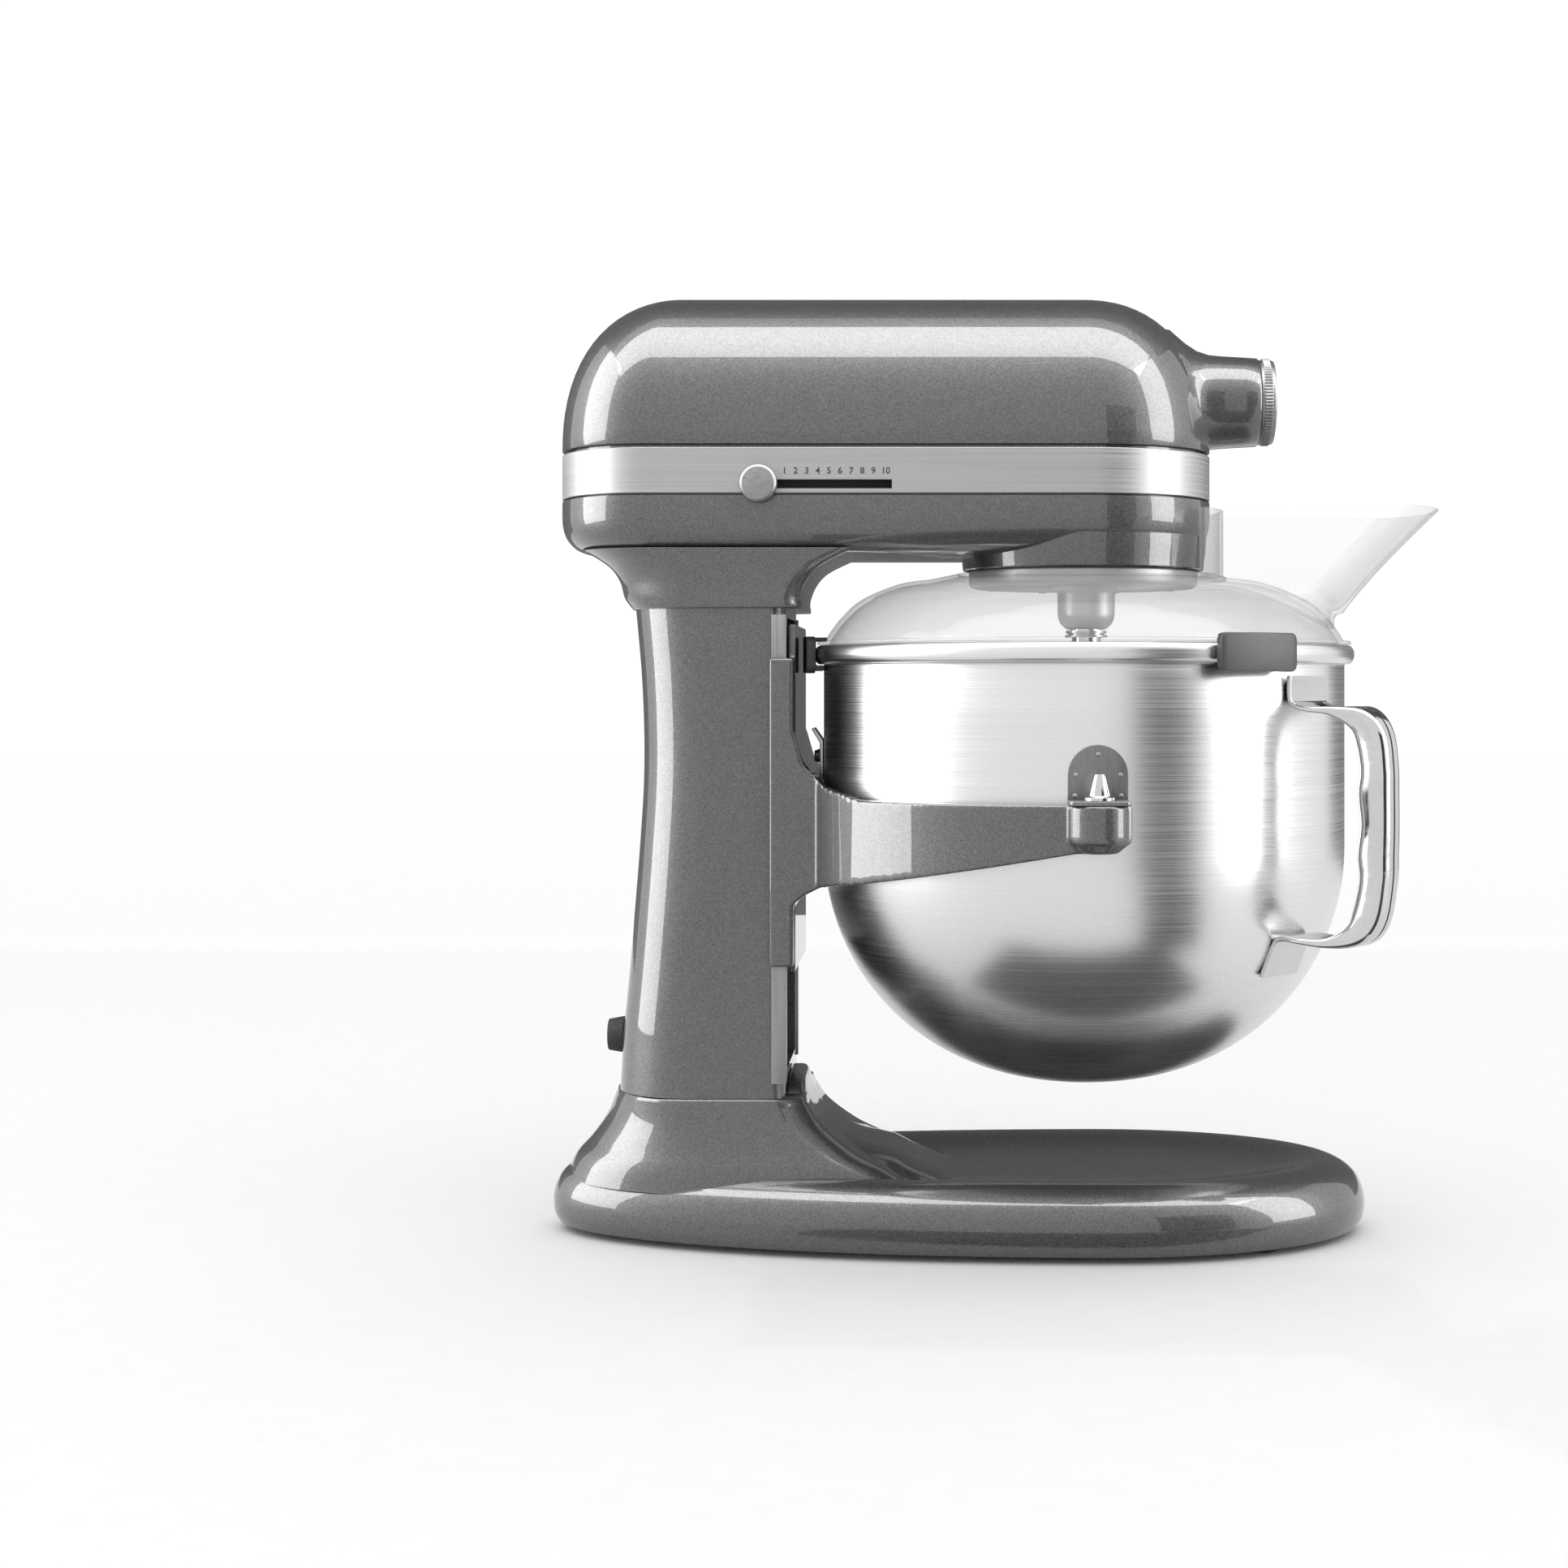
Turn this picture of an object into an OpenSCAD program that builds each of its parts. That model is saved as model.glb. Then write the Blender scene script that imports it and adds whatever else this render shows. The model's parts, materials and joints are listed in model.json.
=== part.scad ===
// Bowl-lift stand mixer. Millimetres, +X to the front, +Z up, feet on z = 0.

/* [Bowl] */
// Outer radius of the bowl's wall
bowl_r = 118; // [100:1:142]
// Depth of the bowl, from the top of its rim to its underside
bowl_depth = 197; // [164:1:237]
// Height of the bowl's rounded lower part
bowl_round_h = 107; // [90:1:125]
// Thickness of the bowl's sheet
bowl_wall = 1.2; // [0.8:0.1:1.6]
// How far the rolled rim stands out from the wall
bead_out = 4.4; // [3:0.1:6]
// Distance from the part's origin forward to the bowl's axis
bowl_x = 40; // [30:1:50]

/* [Lift] */
// Travel of the bowl carriage
lift_stroke = 38; // [30:1:46]
// Free height under the lowered bowl
bottom_clearance = 2.5; // [1:0.5:10]
// Gap between the bowl and the carriage plate
bowl_rear_gap = 10.6; // [10:0.2:20]
// Thickness of the carriage plate
plate_t = 3.2; // [2.5:0.1:5]
// Thickness of the carriage arms
arm_t = 9.2; // [6:0.2:12]
// Gap between the bowl and the arms
arm_gap = 3.4; // [2:0.2:6]
// Radius of the bosses at the ends of the arms
boss_r = 13.6; // [11:0.2:16]
// Radius of the locating pins at their foot
locating_pin_r = 4.3; // [3:0.1:5.5]
// Radius of the lever's shaft
lever_shaft_r = 6; // [5:0.2:8]

/* [Column] */
// Depth of the column at its top
column_depth = 69; // [58:1:83]
// Half of the column's width at its waist
column_hw = 46; // [40:1:52]
// Thickness of the column's wall
column_wall = 5; // [4:0.5:7]
// Width of a guide rail, front to back
rail_w = 6.5; // [5:0.1:9]

/* [Base] */
// Half of the base's width
base_hw = 88; // [74:1:105]
// Height of the base's rim
base_rim_z = 32; // [28:1:38]
// Height of the base's shoulder, where the column stands
shoulder_z = 65; // [58:1:76]
// How far the base reaches in front of the bowl's wall
base_front_over = 9.6; // [5:0.2:30]
// How far the base reaches behind the column
base_rear_over = 39; // [32:1:48]

/* [Head] */
// Half of the head's width
head_hw = 57.5; // [52:0.5:69]
// Height of the top cover
cover_h = 70; // [66:1:84]
// Height of the trim band
band_h = 20; // [17:0.5:24]
// Thickness of the head's castings
head_wall = 3.4; // [2.8:0.2:4.4]
// How far the head reaches behind the column
head_rear_over = 34.6; // [29:0.2:42]

/* [Drive] */
// Radius of the tool shaft
tool_shaft_r = 6.35; // [5.5:0.05:6.6]
// Radius of the planetary disc
planetary_r = 52; // [50:0.5:53]
// Module of the ring gear and planet pinion
ring_module = 1.25; // [1.15:0.05:1.25]
// Radius of the centre shaft
centre_shaft_r = 8; // [7:0.1:9]
// Radial clearance of a shaft in its bearing
running_gap = 0.05; // [0.03:0.01:0.09]
// Radius of the attachment hub's bore
hub_bore_r = 15.5; // [14.5:0.1:16.4]
// Travel of the speed knob
speed_travel = 54; // [44:1:60]

/* [Hidden] */
$fn = 96;
corner_steps = 7;
end_steps = 15;

// Heights, from the base up
foot_h = 3;
dish_z = base_rim_z - 5.5;
bowl_bottom_z = dish_z + lift_stroke + bottom_clearance;
rim_z = bowl_bottom_z + bowl_depth;
round_z = bowl_bottom_z + bowl_round_h;
collar_z = rim_z + 34;
head_floor_z = collar_z + 5;
neck_h = 23;
column_top_z = head_floor_z - neck_h;
lower_h = 26.5;
band_z = head_floor_z + lower_h;
cover_z = band_z + band_h + 1.5;
motor_z = band_z + 15.5;
arm_top_z = rim_z - 67;
lever_z = arm_top_z - 2;

// Places along X
plate_front_x = bowl_x - bowl_r - bowl_rear_gap;
plate_rear_x = plate_front_x - plate_t;
column_front_x = plate_rear_x - 1.2;
column_rear_x = column_front_x - column_depth;
head_rear_x = column_rear_x - head_rear_over;
base_front_x = bowl_x + bowl_r + base_front_over;
base_rear_x = column_rear_x - base_rear_over;
base_mid_x = bowl_x + base_front_over;
hub_end_x = bowl_x + head_hw + 22;
rail_x = column_front_x + 0.6 - rail_w;
rail_y = column_hw + 3.5;
flange_y = rail_y + 0.4;
flange_t = 3.6;
flange_top_z = rim_z - 6;
plate_top_z = rim_z + 9;
plate_bottom_z = flange_top_z - 135;
lever_x = plate_rear_x - 20.2;
crank_r = lift_stroke / sqrt(2);
crank_pin_x = lever_x - crank_r / sqrt(2);
crank_pin_z = lever_z + crank_r / sqrt(2);
arm_in_r = bowl_r + arm_gap;
arm_out_r = arm_in_r + arm_t;
boss_y = arm_in_r + 5;

// Gears
spur_module = 0.8;
motor_teeth = 15;
reduction_teeth = 60;
gear_axis_z = motor_z + spur_module * (motor_teeth + reduction_teeth) / 2;
bevel_module = 1.5;
bevel_teeth = 40;
bevel_pinion_teeth = 16;
bevel_r = bevel_module * bevel_teeth / 2;
bevel_pinion_r = bevel_module * bevel_pinion_teeth / 2;
bevel_back_z = gear_axis_z - bevel_pinion_r;
bevel_taper = 0.75;
ring_teeth = 60;
planet_teeth = 16;
planet_offset = ring_module * (ring_teeth - planet_teeth) / 2;
planet_y = -planet_offset;
ring_z = collar_z + 2;
ring_h = 11.5;
ring_outer_r = 47;
ceiling_z = collar_z + 17;
disc_z = collar_z - 8;
disc_top_z = collar_z + 1.3;
agitator_boss_z = disc_z - 19;
tool_tip_z = collar_z - 70;
tool_pin_z = collar_z - 51;
tool_pin_r = 2.4;
agitator_r = tool_shaft_r + 0.65;
small_shaft_r = 4;
small_bearing_r = 9;
large_bearing_r = 13;
spur_x = [-44, -34];
rear_wall_x = [-30, -24];
front_wall_x = [-4, 2];
motor_x = [-150, -62];
screw_r = 2.5;
knob_x = column_rear_x + 58.3;
knob_z = band_z + 4;
slot_h = 4;
slot_x = [knob_x - 3.5, knob_x + speed_travel + 3.8];
control_x = [knob_x - 36, knob_x + 44];
shield_gap = 0.4;
clip_in_r = bowl_r + bead_out + 0.5;
clip_out_r = clip_in_r + 4.5;
handle_angle = -40;
hub_bore_x = hub_end_x - 29.5;
hub_seat_x = hub_end_x - 7.5;
hub_seat_r = hub_bore_r + 1.7;

PAINT = "#6b6c6e";
STEEL = "#c4c6c9";
CAST = "#9a9ca0";
DARK = "#3a3b3d";
CLEAR = [0.9, 0.93, 0.95, 0.35];

// ---------------------------------------------------------------- helpers

// Points of an arc, centre c, radii r = [rx, ry]
function arc(c, r, a0, a1, n) = [
    for (i = [0:n])
        let (a = a0 + (a1 - a0) * i / n)
        [c[0] + r[0] * cos(a), c[1] + r[1] * sin(a)]
];

// A flat outline lifted to height z
function ring_at(outline, z) = [for (p = outline) [p[0], p[1], z]];

function reversed(list) = [for (i = [len(list) - 1:-1:0]) list[i]];

// Closed solid through rings of equal length, flat at both ends
module loft(rings) {
    n = len(rings[0]);
    m = len(rings);
    sides = [
        for (j = [0:m - 2], i = [0:n - 1])
            let (a = j * n + i, b = j * n + (i + 1) % n)
            each [[a, a + n, b + n], [a, b + n, b]]
    ];
    first = [for (i = [0:n - 1]) i];
    last = [for (i = [n - 1:-1:0]) (m - 1) * n + i];
    polyhedron([for (r = rings) each r], concat(sides, [first, last]));
}

// Closed tube wall: up the outer rings and down the inner ones
module loft_tube(rings) {
    n = len(rings[0]);
    m = len(rings);
    sides = [
        for (j = [0:m - 1], i = [0:n - 1])
            let (a = j * n, b = ((j + 1) % m) * n, k = (i + 1) % n)
            each [[a + i, b + i, b + k], [a + i, b + k, a + k]]
    ];
    polyhedron([for (r = rings) each r], sides);
}

module xcyl(x0, x1, r, y = 0, z = 0, r2 = undef) {
    translate([x0, y, z])
        rotate([0, 90, 0])
            cylinder(h = x1 - x0, r1 = r, r2 = is_undef(r2) ? r : r2);
}

module ycyl(y0, y1, r, x = 0, z = 0) {
    translate([x, y0, z])
        rotate([-90, 0, 0])
            cylinder(h = y1 - y0, r = r);
}

module zcyl(z0, z1, r, x = 0, y = 0, r2 = undef) {
    translate([x, y, z0])
        cylinder(h = z1 - z0, r1 = r, r2 = is_undef(r2) ? r : r2);
}

module block(lo, hi) {
    translate(lo)
        cube(hi - lo);
}

// Prism of a side-view outline in X and Z, from y0 to y1
module side_prism(outline, y0, y1) {
    translate([0, y1, 0])
        rotate([90, 0, 0])
            linear_extrude(y1 - y0)
                polygon(outline);
}

module mirror_y() {
    children();
    mirror([0, 1, 0])
        children();
}

// Screw along +Z, head below z = 0
module screw(r, l) {
    cylinder(h = l, r = r);
    translate([0, 0, -2.5])
        cylinder(h = 2.5, r = r * 1.8);
}

// Rounded rectangle in plan; rear and front corner radii
function slab_plan(x0, x1, hw, rear_r, front_r) = concat(
    arc([x1 - front_r, -hw + front_r], [front_r, front_r], -90, 0, corner_steps),
    arc([x1 - front_r, hw - front_r], [front_r, front_r], 0, 90, corner_steps),
    arc([x0 + rear_r, hw - rear_r], [rear_r, rear_r], 90, 180, corner_steps),
    arc([x0 + rear_r, -hw + rear_r], [rear_r, rear_r], 180, 270, corner_steps)
);

// The head in plan, drawn in by i all round
function head_plan(i) =
    let (w = head_hw - i, rear = 0.75 * w)
    concat(
        arc([bowl_x, 0], [w, w], -90, 90, end_steps),
        arc([head_rear_x + i + rear, 0], [rear, w], 90, 270, end_steps)
    );

// The base in plan, drawn in by i all round
function base_plan(i) = concat(
    arc([base_mid_x, 0], [base_front_x - base_mid_x - i, base_hw - i], -88, 88, end_steps + 2),
    arc([base_mid_x, 0], [base_mid_x - base_rear_x - i, base_hw - i], 92, 268, end_steps + 4)
);

// Spur gear outline: each tooth is [radius, half angle] points from root to tip
function gear_outline(teeth, flank) = [
    for (t = [0:teeth - 1])
        let (a = 360 / teeth * t)
        each concat(
            [for (p = flank) p[0] * [cos(a - p[1]), sin(a - p[1])]],
            [for (p = reversed(flank)) p[0] * [cos(a + p[1]), sin(a + p[1])]]
        )
];

// Half angle of an involute tooth at radius r, thinned by slack at the pitch line
function involute_half(teeth, pitch_r, r, slack) =
    let (
        base_r = pitch_r * cos(20),
        inv20 = tan(20) - 20 * PI / 180,
        a = acos(min(1, base_r / r))
    )
    (PI / 2 / teeth - slack / pitch_r + inv20 - tan(a) + a * PI / 180) * 180 / PI;

function involute_flank(teeth, module_mm, inner, outer, slack) =
    let (pitch_r = teeth * module_mm / 2)
    [for (r = [inner, pitch_r, outer]) [r, involute_half(teeth, pitch_r, r, slack)]];

module spur(teeth, module_mm, h, slack = 0.12) {
    pitch_r = teeth * module_mm / 2;
    linear_extrude(h)
        polygon(gear_outline(teeth, involute_flank(
            teeth, module_mm, pitch_r - 1.1 * module_mm, pitch_r + 0.8 * module_mm, slack)));
}

// Bevel teeth that run to a common apex; apex_h is the apex's height over the back face
module bevel_teeth_solid(teeth, apex_h, slack = 0.2) {
    pitch_r = teeth * bevel_module / 2;
    cone = norm([pitch_r, apex_h]);
    pitch_angle = atan2(pitch_r, apex_h);
    function at_height(d) =
        let (
            angle = pitch_angle + atan(d / cone),
            half = bevel_module * PI / 4 - slack - d * tan(20)
        )
        [apex_h * tan(angle), half / (cone * sin(angle)) * 180 / PI];
    flank = [at_height(-1.8), at_height(0), at_height(1.1)];
    linear_extrude(apex_h * (1 - bevel_taper), scale = bevel_taper)
        polygon(gear_outline(teeth, flank));
}

// ---------------------------------------------------------------- base

foot_places = concat(
    [
        for (a = [-38, 38])
            [base_mid_x + (base_front_x - base_mid_x - 36) * cos(a), (base_hw - 4) * sin(a)]
    ],
    [for (side = [-1, 1]) [column_front_x + 22.6, side * (base_hw - 36)]],
    [[base_rear_x + 26, 0]]
);
frame_screw_places = [
    for (x = [column_rear_x + 20, column_front_x - 11], y = [-1, 1])
        [x, y * (column_hw - 20)]
];

// Plan of the column's pedestal: its rear end is half an ellipse, rear_len long
function boss_plan(x0, x1, hw, rear_len) = concat(
    arc([x1 - 16, -hw + 16], [16, 16], -90, 0, 6),
    arc([x1 - 16, hw - 16], [16, 16], 0, 90, 6),
    arc([x0 + rear_len, 0], [rear_len, hw], 90, 270, 18)
);

// Share of the pedestal's height, reach behind and in front of the column, added half width, rear length
pedestal_sections = [
    [-0.24, 33, 58, 13, 92], [0.06, 28.5, 43, 12, 84], [0.3, 21.5, 28, 9.5, 72],
    [0.6, 14.5, 15, 7, 57], [0.85, 11, 9, 5.3, 46], [0.94, 9.8, 7.8, 4.7, 42], [1, 8.4, 6.4, 3.6, 40]
];

function pedestal_ring(s, inset) =
    ring_at(boss_plan(column_rear_x - s[1] + inset, plate_rear_x + s[2] - inset,
                      column_hw + s[3] - inset, s[4] - inset),
            base_rim_z + s[0] * (shoulder_z - base_rim_z));

module base_casting() {
    front = plate_rear_x;
    skin_z = dish_z - 2.5;
    wall = 6;
    outer = [
        ring_at(base_plan(3), foot_h),
        ring_at(base_plan(0.6), 7),
        ring_at(base_plan(0), 12),
        ring_at(base_plan(1.2), base_rim_z - 12),
        ring_at(base_plan(4.5), base_rim_z - 6),
        ring_at(base_plan(10), base_rim_z - 2),
        ring_at(base_plan(18), base_rim_z),
        ring_at(base_plan(26), base_rim_z - 1),
        ring_at(base_plan(42), dish_z + 1.2),
        ring_at(base_plan(60), dish_z)
    ];
    inner = [
        ring_at(base_plan(56), dish_z - 5),
        ring_at(base_plan(20), dish_z - 4),
        ring_at(base_plan(8), dish_z - 9),
        ring_at(base_plan(8.5), foot_h)
    ];
    cavity = [
        ring_at(boss_plan(column_rear_x - 14, front + 20, column_hw - 8, 60), dish_z - 9),
        ring_at(boss_plan(column_rear_x - 8, front + 6, column_hw - 8, 50), shoulder_z - 24),
        ring_at(boss_plan(column_rear_x - 2, front - 2, column_hw - 6, 40), shoulder_z - 9)
    ];
    lip_outline = concat(
        [[column_front_x + 0.4, skin_z], [column_front_x + 0.4, shoulder_z + 6.6]],
        reversed(arc([front + 3.8, shoulder_z + 4.6], [2, 2], 10, 90, 4)),
        arc([front + 43, shoulder_z + 9], [37, 32], 190, 255, 8),
        [[front + 66, skin_z]]
    );
    color(PAINT)
        difference() {
            union() {
                difference() {
                    union() {
                        loft(concat(inner, outer));
                        loft([for (s = pedestal_sections) pedestal_ring(s, 0)]);
                        side_prism(lip_outline, -column_hw + 4, column_hw - 4);
                    }
                    loft(cavity);
                }
                for (p = foot_places)
                    zcyl(foot_h + 1, dish_z - 3, 9, p[0], p[1]);
                for (p = frame_screw_places)
                    zcyl(dish_z - 10, shoulder_z - wall, 6.5, p[0], p[1]);
            }
            for (p = foot_places)
                zcyl(foot_h, foot_h + 8, 4, p[0], p[1]);
            for (p = frame_screw_places) {
                zcyl(dish_z - 12, shoulder_z - 8, 1.8 * screw_r, p[0], p[1]);
                zcyl(shoulder_z - 9, shoulder_z + 2, screw_r, p[0], p[1]);
            }
        }
}

module rubber_feet() {
    color(DARK)
        for (p = foot_places) {
            zcyl(0, foot_h + 1, 8.7, p[0], p[1]);
            zcyl(foot_h + 1, foot_h + 8, 4, p[0], p[1]);
        }
}

module frame_screws() {
    color(STEEL) {
        for (p = frame_screw_places) {
            translate([p[0], p[1], shoulder_z - 8])
                screw(screw_r, 22);
            translate([p[0], p[1], column_top_z - 6])
                screw(screw_r, 18);
        }
        for (a = [45:90:315])
            translate([bowl_x + 38 * cos(a), 38 * sin(a), ceiling_z + 4])
                mirror([0, 0, 1])
                    screw(screw_r, 7.4);
    }
}

// ---------------------------------------------------------------- column

// Half of the width of the slot in the column's front, where the carriage rides
slot_hw = column_hw - 14;

// The column's outline at one level, drawn in by inset
function column_outline(rear, side, inset) =
    let (hw = column_hw + side - inset)
    slab_plan(column_rear_x + rear + inset, column_front_x - inset, hw, 0.72 * hw,
              max(1.5, 7 - inset));

// Height share, rear offset and half-width offset of the column's sections
column_sections = [
    [0, -7, 2.8], [0.12, -5.5, 2.2], [0.25, -2.8, 1.4], [0.38, -0.4, 0.8], [0.51, 1.8, 0.2],
    [0.64, 3.5, 0], [0.75, 3.6, 0], [0.86, 2.6, 0.3], [0.94, 1.2, 0.6], [1, 0, 0.8]
];

module column_casting() {
    mid_x = (column_rear_x + column_front_x) / 2;
    plate = 6;
    cavity = slab_plan(column_rear_x + 3.6 + column_wall, column_front_x - column_wall,
                       column_hw - column_wall, 0.66 * column_hw, 3);
    color(PAINT)
        difference() {
            union() {
                difference() {
                    loft([
                        for (s = column_sections)
                            ring_at(column_outline(s[1], s[2], 0),
                                    shoulder_z + s[0] * (column_top_z - shoulder_z))
                    ]);
                    translate([0, 0, shoulder_z + plate])
                        linear_extrude(column_top_z - shoulder_z - 2 * plate)
                            polygon(cavity);
                    block([column_front_x - 12, -slot_hw, shoulder_z + 11],
                          [column_front_x + 1, slot_hw, column_top_z - 4]);
                }
                for (p = frame_screw_places)
                    zcyl(shoulder_z + 3, shoulder_z + 24, 6.6, p[0], p[1]);
            }
            mirror_y()
                block([rail_x, rail_y - 6, shoulder_z + 6.6],
                      [rail_x + rail_w, rail_y + 1, column_top_z - 3]);
            for (p = frame_screw_places) {
                zcyl(shoulder_z - 1, shoulder_z + 26, screw_r, p[0], p[1]);
                zcyl(column_top_z - 7, column_top_z + 1, screw_r, p[0], p[1]);
            }
            for (z = [shoulder_z - 1, column_top_z - 7])
                zcyl(z, z + 8, 12, mid_x, 0);
            ycyl(column_hw - 8, column_hw + 6, lever_shaft_r + 4, lever_x, lever_z);
            xcyl(column_rear_x - 12, column_rear_x + 10, 5, 0, shoulder_z + 22);
            mirror_y()
                for (z = rail_screw_z)
                    ycyl(rail_y - 12, rail_y - 5, 1.6, rail_x + rail_w / 2, z);
        }
}

rail_screw_z = [shoulder_z + 75, column_top_z - 28];

module guide_rails() {
    color(STEEL)
        mirror_y()
            difference() {
                block([rail_x, rail_y - 6, shoulder_z + 6.6],
                      [rail_x + rail_w, rail_y, column_top_z - 3]);
                for (z = rail_screw_z) {
                    ycyl(rail_y - 7, rail_y - 1, 1.6, rail_x + rail_w / 2, z);
                    ycyl(rail_y - 2.5, rail_y + 1, 2.6, rail_x + rail_w / 2, z);
                }
            }
}

module rail_screws() {
    color(DARK)
        mirror_y()
            for (z = rail_screw_z) {
                ycyl(rail_y - 12, rail_y - 2.4, 1.6, rail_x + rail_w / 2, z);
                ycyl(rail_y - 2.5, rail_y - 0.6, 2.6, rail_x + rail_w / 2, z);
            }
}

module cord_gland() {
    z = shoulder_z + 22;
    x = column_rear_x - 5.2;
    color(DARK)
        difference() {
            union() {
                xcyl(x - 9, x - 1.3, 7, 0, z, 8.4);
                xcyl(x - 2, x + 10, 5, 0, z);
            }
            xcyl(x - 10, x + 11, 3.6, 0, z);
        }
}

// ---------------------------------------------------------------- head shells

function neck_ring(z, rear, front, side, inset) = ring_at(
    slab_plan(column_rear_x + rear + inset, plate_front_x + 2.6 + front - inset,
              column_hw + side - inset, 0.72 * (column_hw + side - inset), 9), z);

neck_sections = [
    [0, -2, 0, 3], [0.22, -5, -0.2, 3.2], [0.52, -7, 2.4, 3.4],
    [0.78, -11, 7.5, 4.2], [1, -18, 17, 5.2], [1.13, -24, 24, 5.6]
];

// Height over the head's floor and inset of the lower housing's outer surface
lower_profile = [
    [0, 38], [1, 22], [2.3, 12], [4, 6.5], [6.5, 3], [10, 0.8], [15, 0], [lower_h - 1, 0]
];

module head_lower_housing() {
    tongue = 2.8;
    inner = tongue + head_wall;
    tub = concat(
        [for (p = lower_profile) ring_at(head_plan(p[1]), head_floor_z + p[0])],
        [ring_at(head_plan(tongue), head_floor_z + lower_h - 1)],
        [ring_at(head_plan(tongue), cover_z)],
        [ring_at(head_plan(inner), cover_z)],
        [ring_at(head_plan(inner), head_floor_z + 9)],
        [ring_at(head_plan(inner + 6), head_floor_z + 5)],
        [ring_at(head_plan(38), head_floor_z + head_wall)]
    );
    neck = concat(
        [for (s = neck_sections) neck_ring(column_top_z + s[0] * neck_h, s[1], s[2], s[3], 0)],
        [for (s = reversed(neck_sections))
            neck_ring(column_top_z + s[0] * neck_h, s[1], s[2], s[3], head_wall)]
    );
    color(PAINT)
        difference() {
            union() {
                loft(tub);
                loft_tube(neck);
                translate([0, 0, column_top_z + 0.5])
                    linear_extrude(6)
                        polygon([for (p = neck_ring(0, -4, 0, 3, head_wall / 2)) [p[0], p[1]]]);
                zcyl(collar_z, head_floor_z + 8, head_hw - 3.4, bowl_x, 0, head_hw - 2.4);
                zcyl(ceiling_z - 4, ceiling_z, head_hw - 4, bowl_x);
            }
            zcyl(collar_z - 1, ring_z, planetary_r + 1, bowl_x);
            zcyl(ring_z - 1, ring_z + ring_h, ring_outer_r, bowl_x);
            zcyl(ceiling_z - 6, ceiling_z + 1, 18, bowl_x);
            for (a = [45:90:315])
                zcyl(ceiling_z - 5, ceiling_z + 1, screw_r, bowl_x + 38 * cos(a), 38 * sin(a));
            for (p = frame_screw_places)
                zcyl(column_top_z - 1, column_top_z + 12, screw_r, p[0], p[1]);
            zcyl(column_top_z - 1, head_floor_z + 10, 12, (column_rear_x + column_front_x) / 2);
            block([slot_x[0], -head_hw - 1, knob_z - slot_h / 2],
                  [slot_x[1], -head_hw + inner + 3, knob_z + slot_h / 2]);
        }
}

// Inset of the top cover's superellipse at a share u (0 to 1) of the way up its curve
cover_power = 2.25;
cover_steps = [0, 14, 26, 38, 50, 60, 69, 77, 84, 88.5];

function cover_ring(a, w, h, inset) =
    ring_at(head_plan(inset + w * (1 - pow(cos(a), 2 / cover_power))),
            cover_z + h * pow(sin(a), 2 / cover_power));

module head_top_cover() {
    outer = [for (a = cover_steps) cover_ring(a, head_hw - 0.5, cover_h, 0)];
    inner = [
        for (a = reversed(cover_steps))
            cover_ring(a, head_hw - 0.5 - head_wall, cover_h - head_wall, head_wall)
    ];
    color(PAINT)
        difference() {
            union() {
                loft(concat(inner, outer));
                xcyl(hub_bore_x - 14, hub_end_x, 21.2, 0, gear_axis_z, 20);
                ycyl(12, 21.8, 7, hub_end_x - 14, gear_axis_z);
            }
            xcyl(hub_bore_x, hub_end_x - 1, hub_bore_r, 0, gear_axis_z);
            xcyl(hub_seat_x, hub_end_x + 1, hub_seat_r, 0, gear_axis_z);
            xcyl(hub_bore_x - 20, hub_bore_x + 1, 13.5, 0, gear_axis_z);
            ycyl(12, 23, 3 + running_gap, hub_end_x - 14, gear_axis_z);
        }
}

module trim_band() {
    color("#b9bbbd")
        difference() {
            translate([0, 0, band_z])
                linear_extrude(band_h)
                    difference() {
                        polygon(head_plan(0));
                        polygon(head_plan(2.8));
                    }
            block([slot_x[0], -head_hw - 1, knob_z - slot_h / 2],
                  [slot_x[1], -head_hw + 4, knob_z + slot_h / 2]);
        }
}

// ---------------------------------------------------------------- speed control

track_y = -head_hw + 2.8 + head_wall;

module slider_track() {
    color(DARK)
        block([slot_x[0] - 14, track_y + 5.6, knob_z - 7], [slot_x[1] + 14, track_y + 7.2, knob_z + 7]);
}

module speed_knob() {
    color("#8f9193") {
        ycyl(-head_hw - 7.5, -head_hw - 1, 8.1, knob_x, knob_z);
        block([knob_x - 2.6, -head_hw - 1, knob_z - slot_h / 2 + 0.4],
              [knob_x + 2.6, track_y + 0.5, knob_z + slot_h / 2 - 0.4]);
    }
}

module slider_carrier() {
    color(DARK)
        block([knob_x - 9, track_y + 0.5, knob_z - 5], [knob_x + 9, track_y + 5, knob_z + 5]);
}

module control_board() {
    y = track_y + 9;
    color("#3c6b46") {
        block([control_x[0], y, band_z - 12], [control_x[1], y + 1.6, band_z + 24]);
        for (x = [control_x[0] + 8, control_x[0] + 26, control_x[0] + 44])
            block([x, y + 1.6, band_z - 4], [x + 12, y + 4.5, band_z + 6]);
    }
}

// ---------------------------------------------------------------- motor

can_r = 34;
module motor_can() {
    color(CAST)
        difference() {
            xcyl(motor_x[0], motor_x[1], can_r, 0, motor_z);
            xcyl(motor_x[0] - 1, motor_x[1] + 1, can_r - 3, 0, motor_z);
        }
}

module motor_end_bells() {
    color(CAST)
        for (x = [motor_x[0] - 8, motor_x[1]])
            difference() {
                xcyl(x, x + 8, can_r, 0, motor_z);
                xcyl(x - 1, x + 9, small_bearing_r, 0, motor_z);
                for (a = [0:60:300])
                    xcyl(x - 1, x + 9, 5, 22 * cos(a), motor_z + 22 * sin(a));
            }
}

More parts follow.
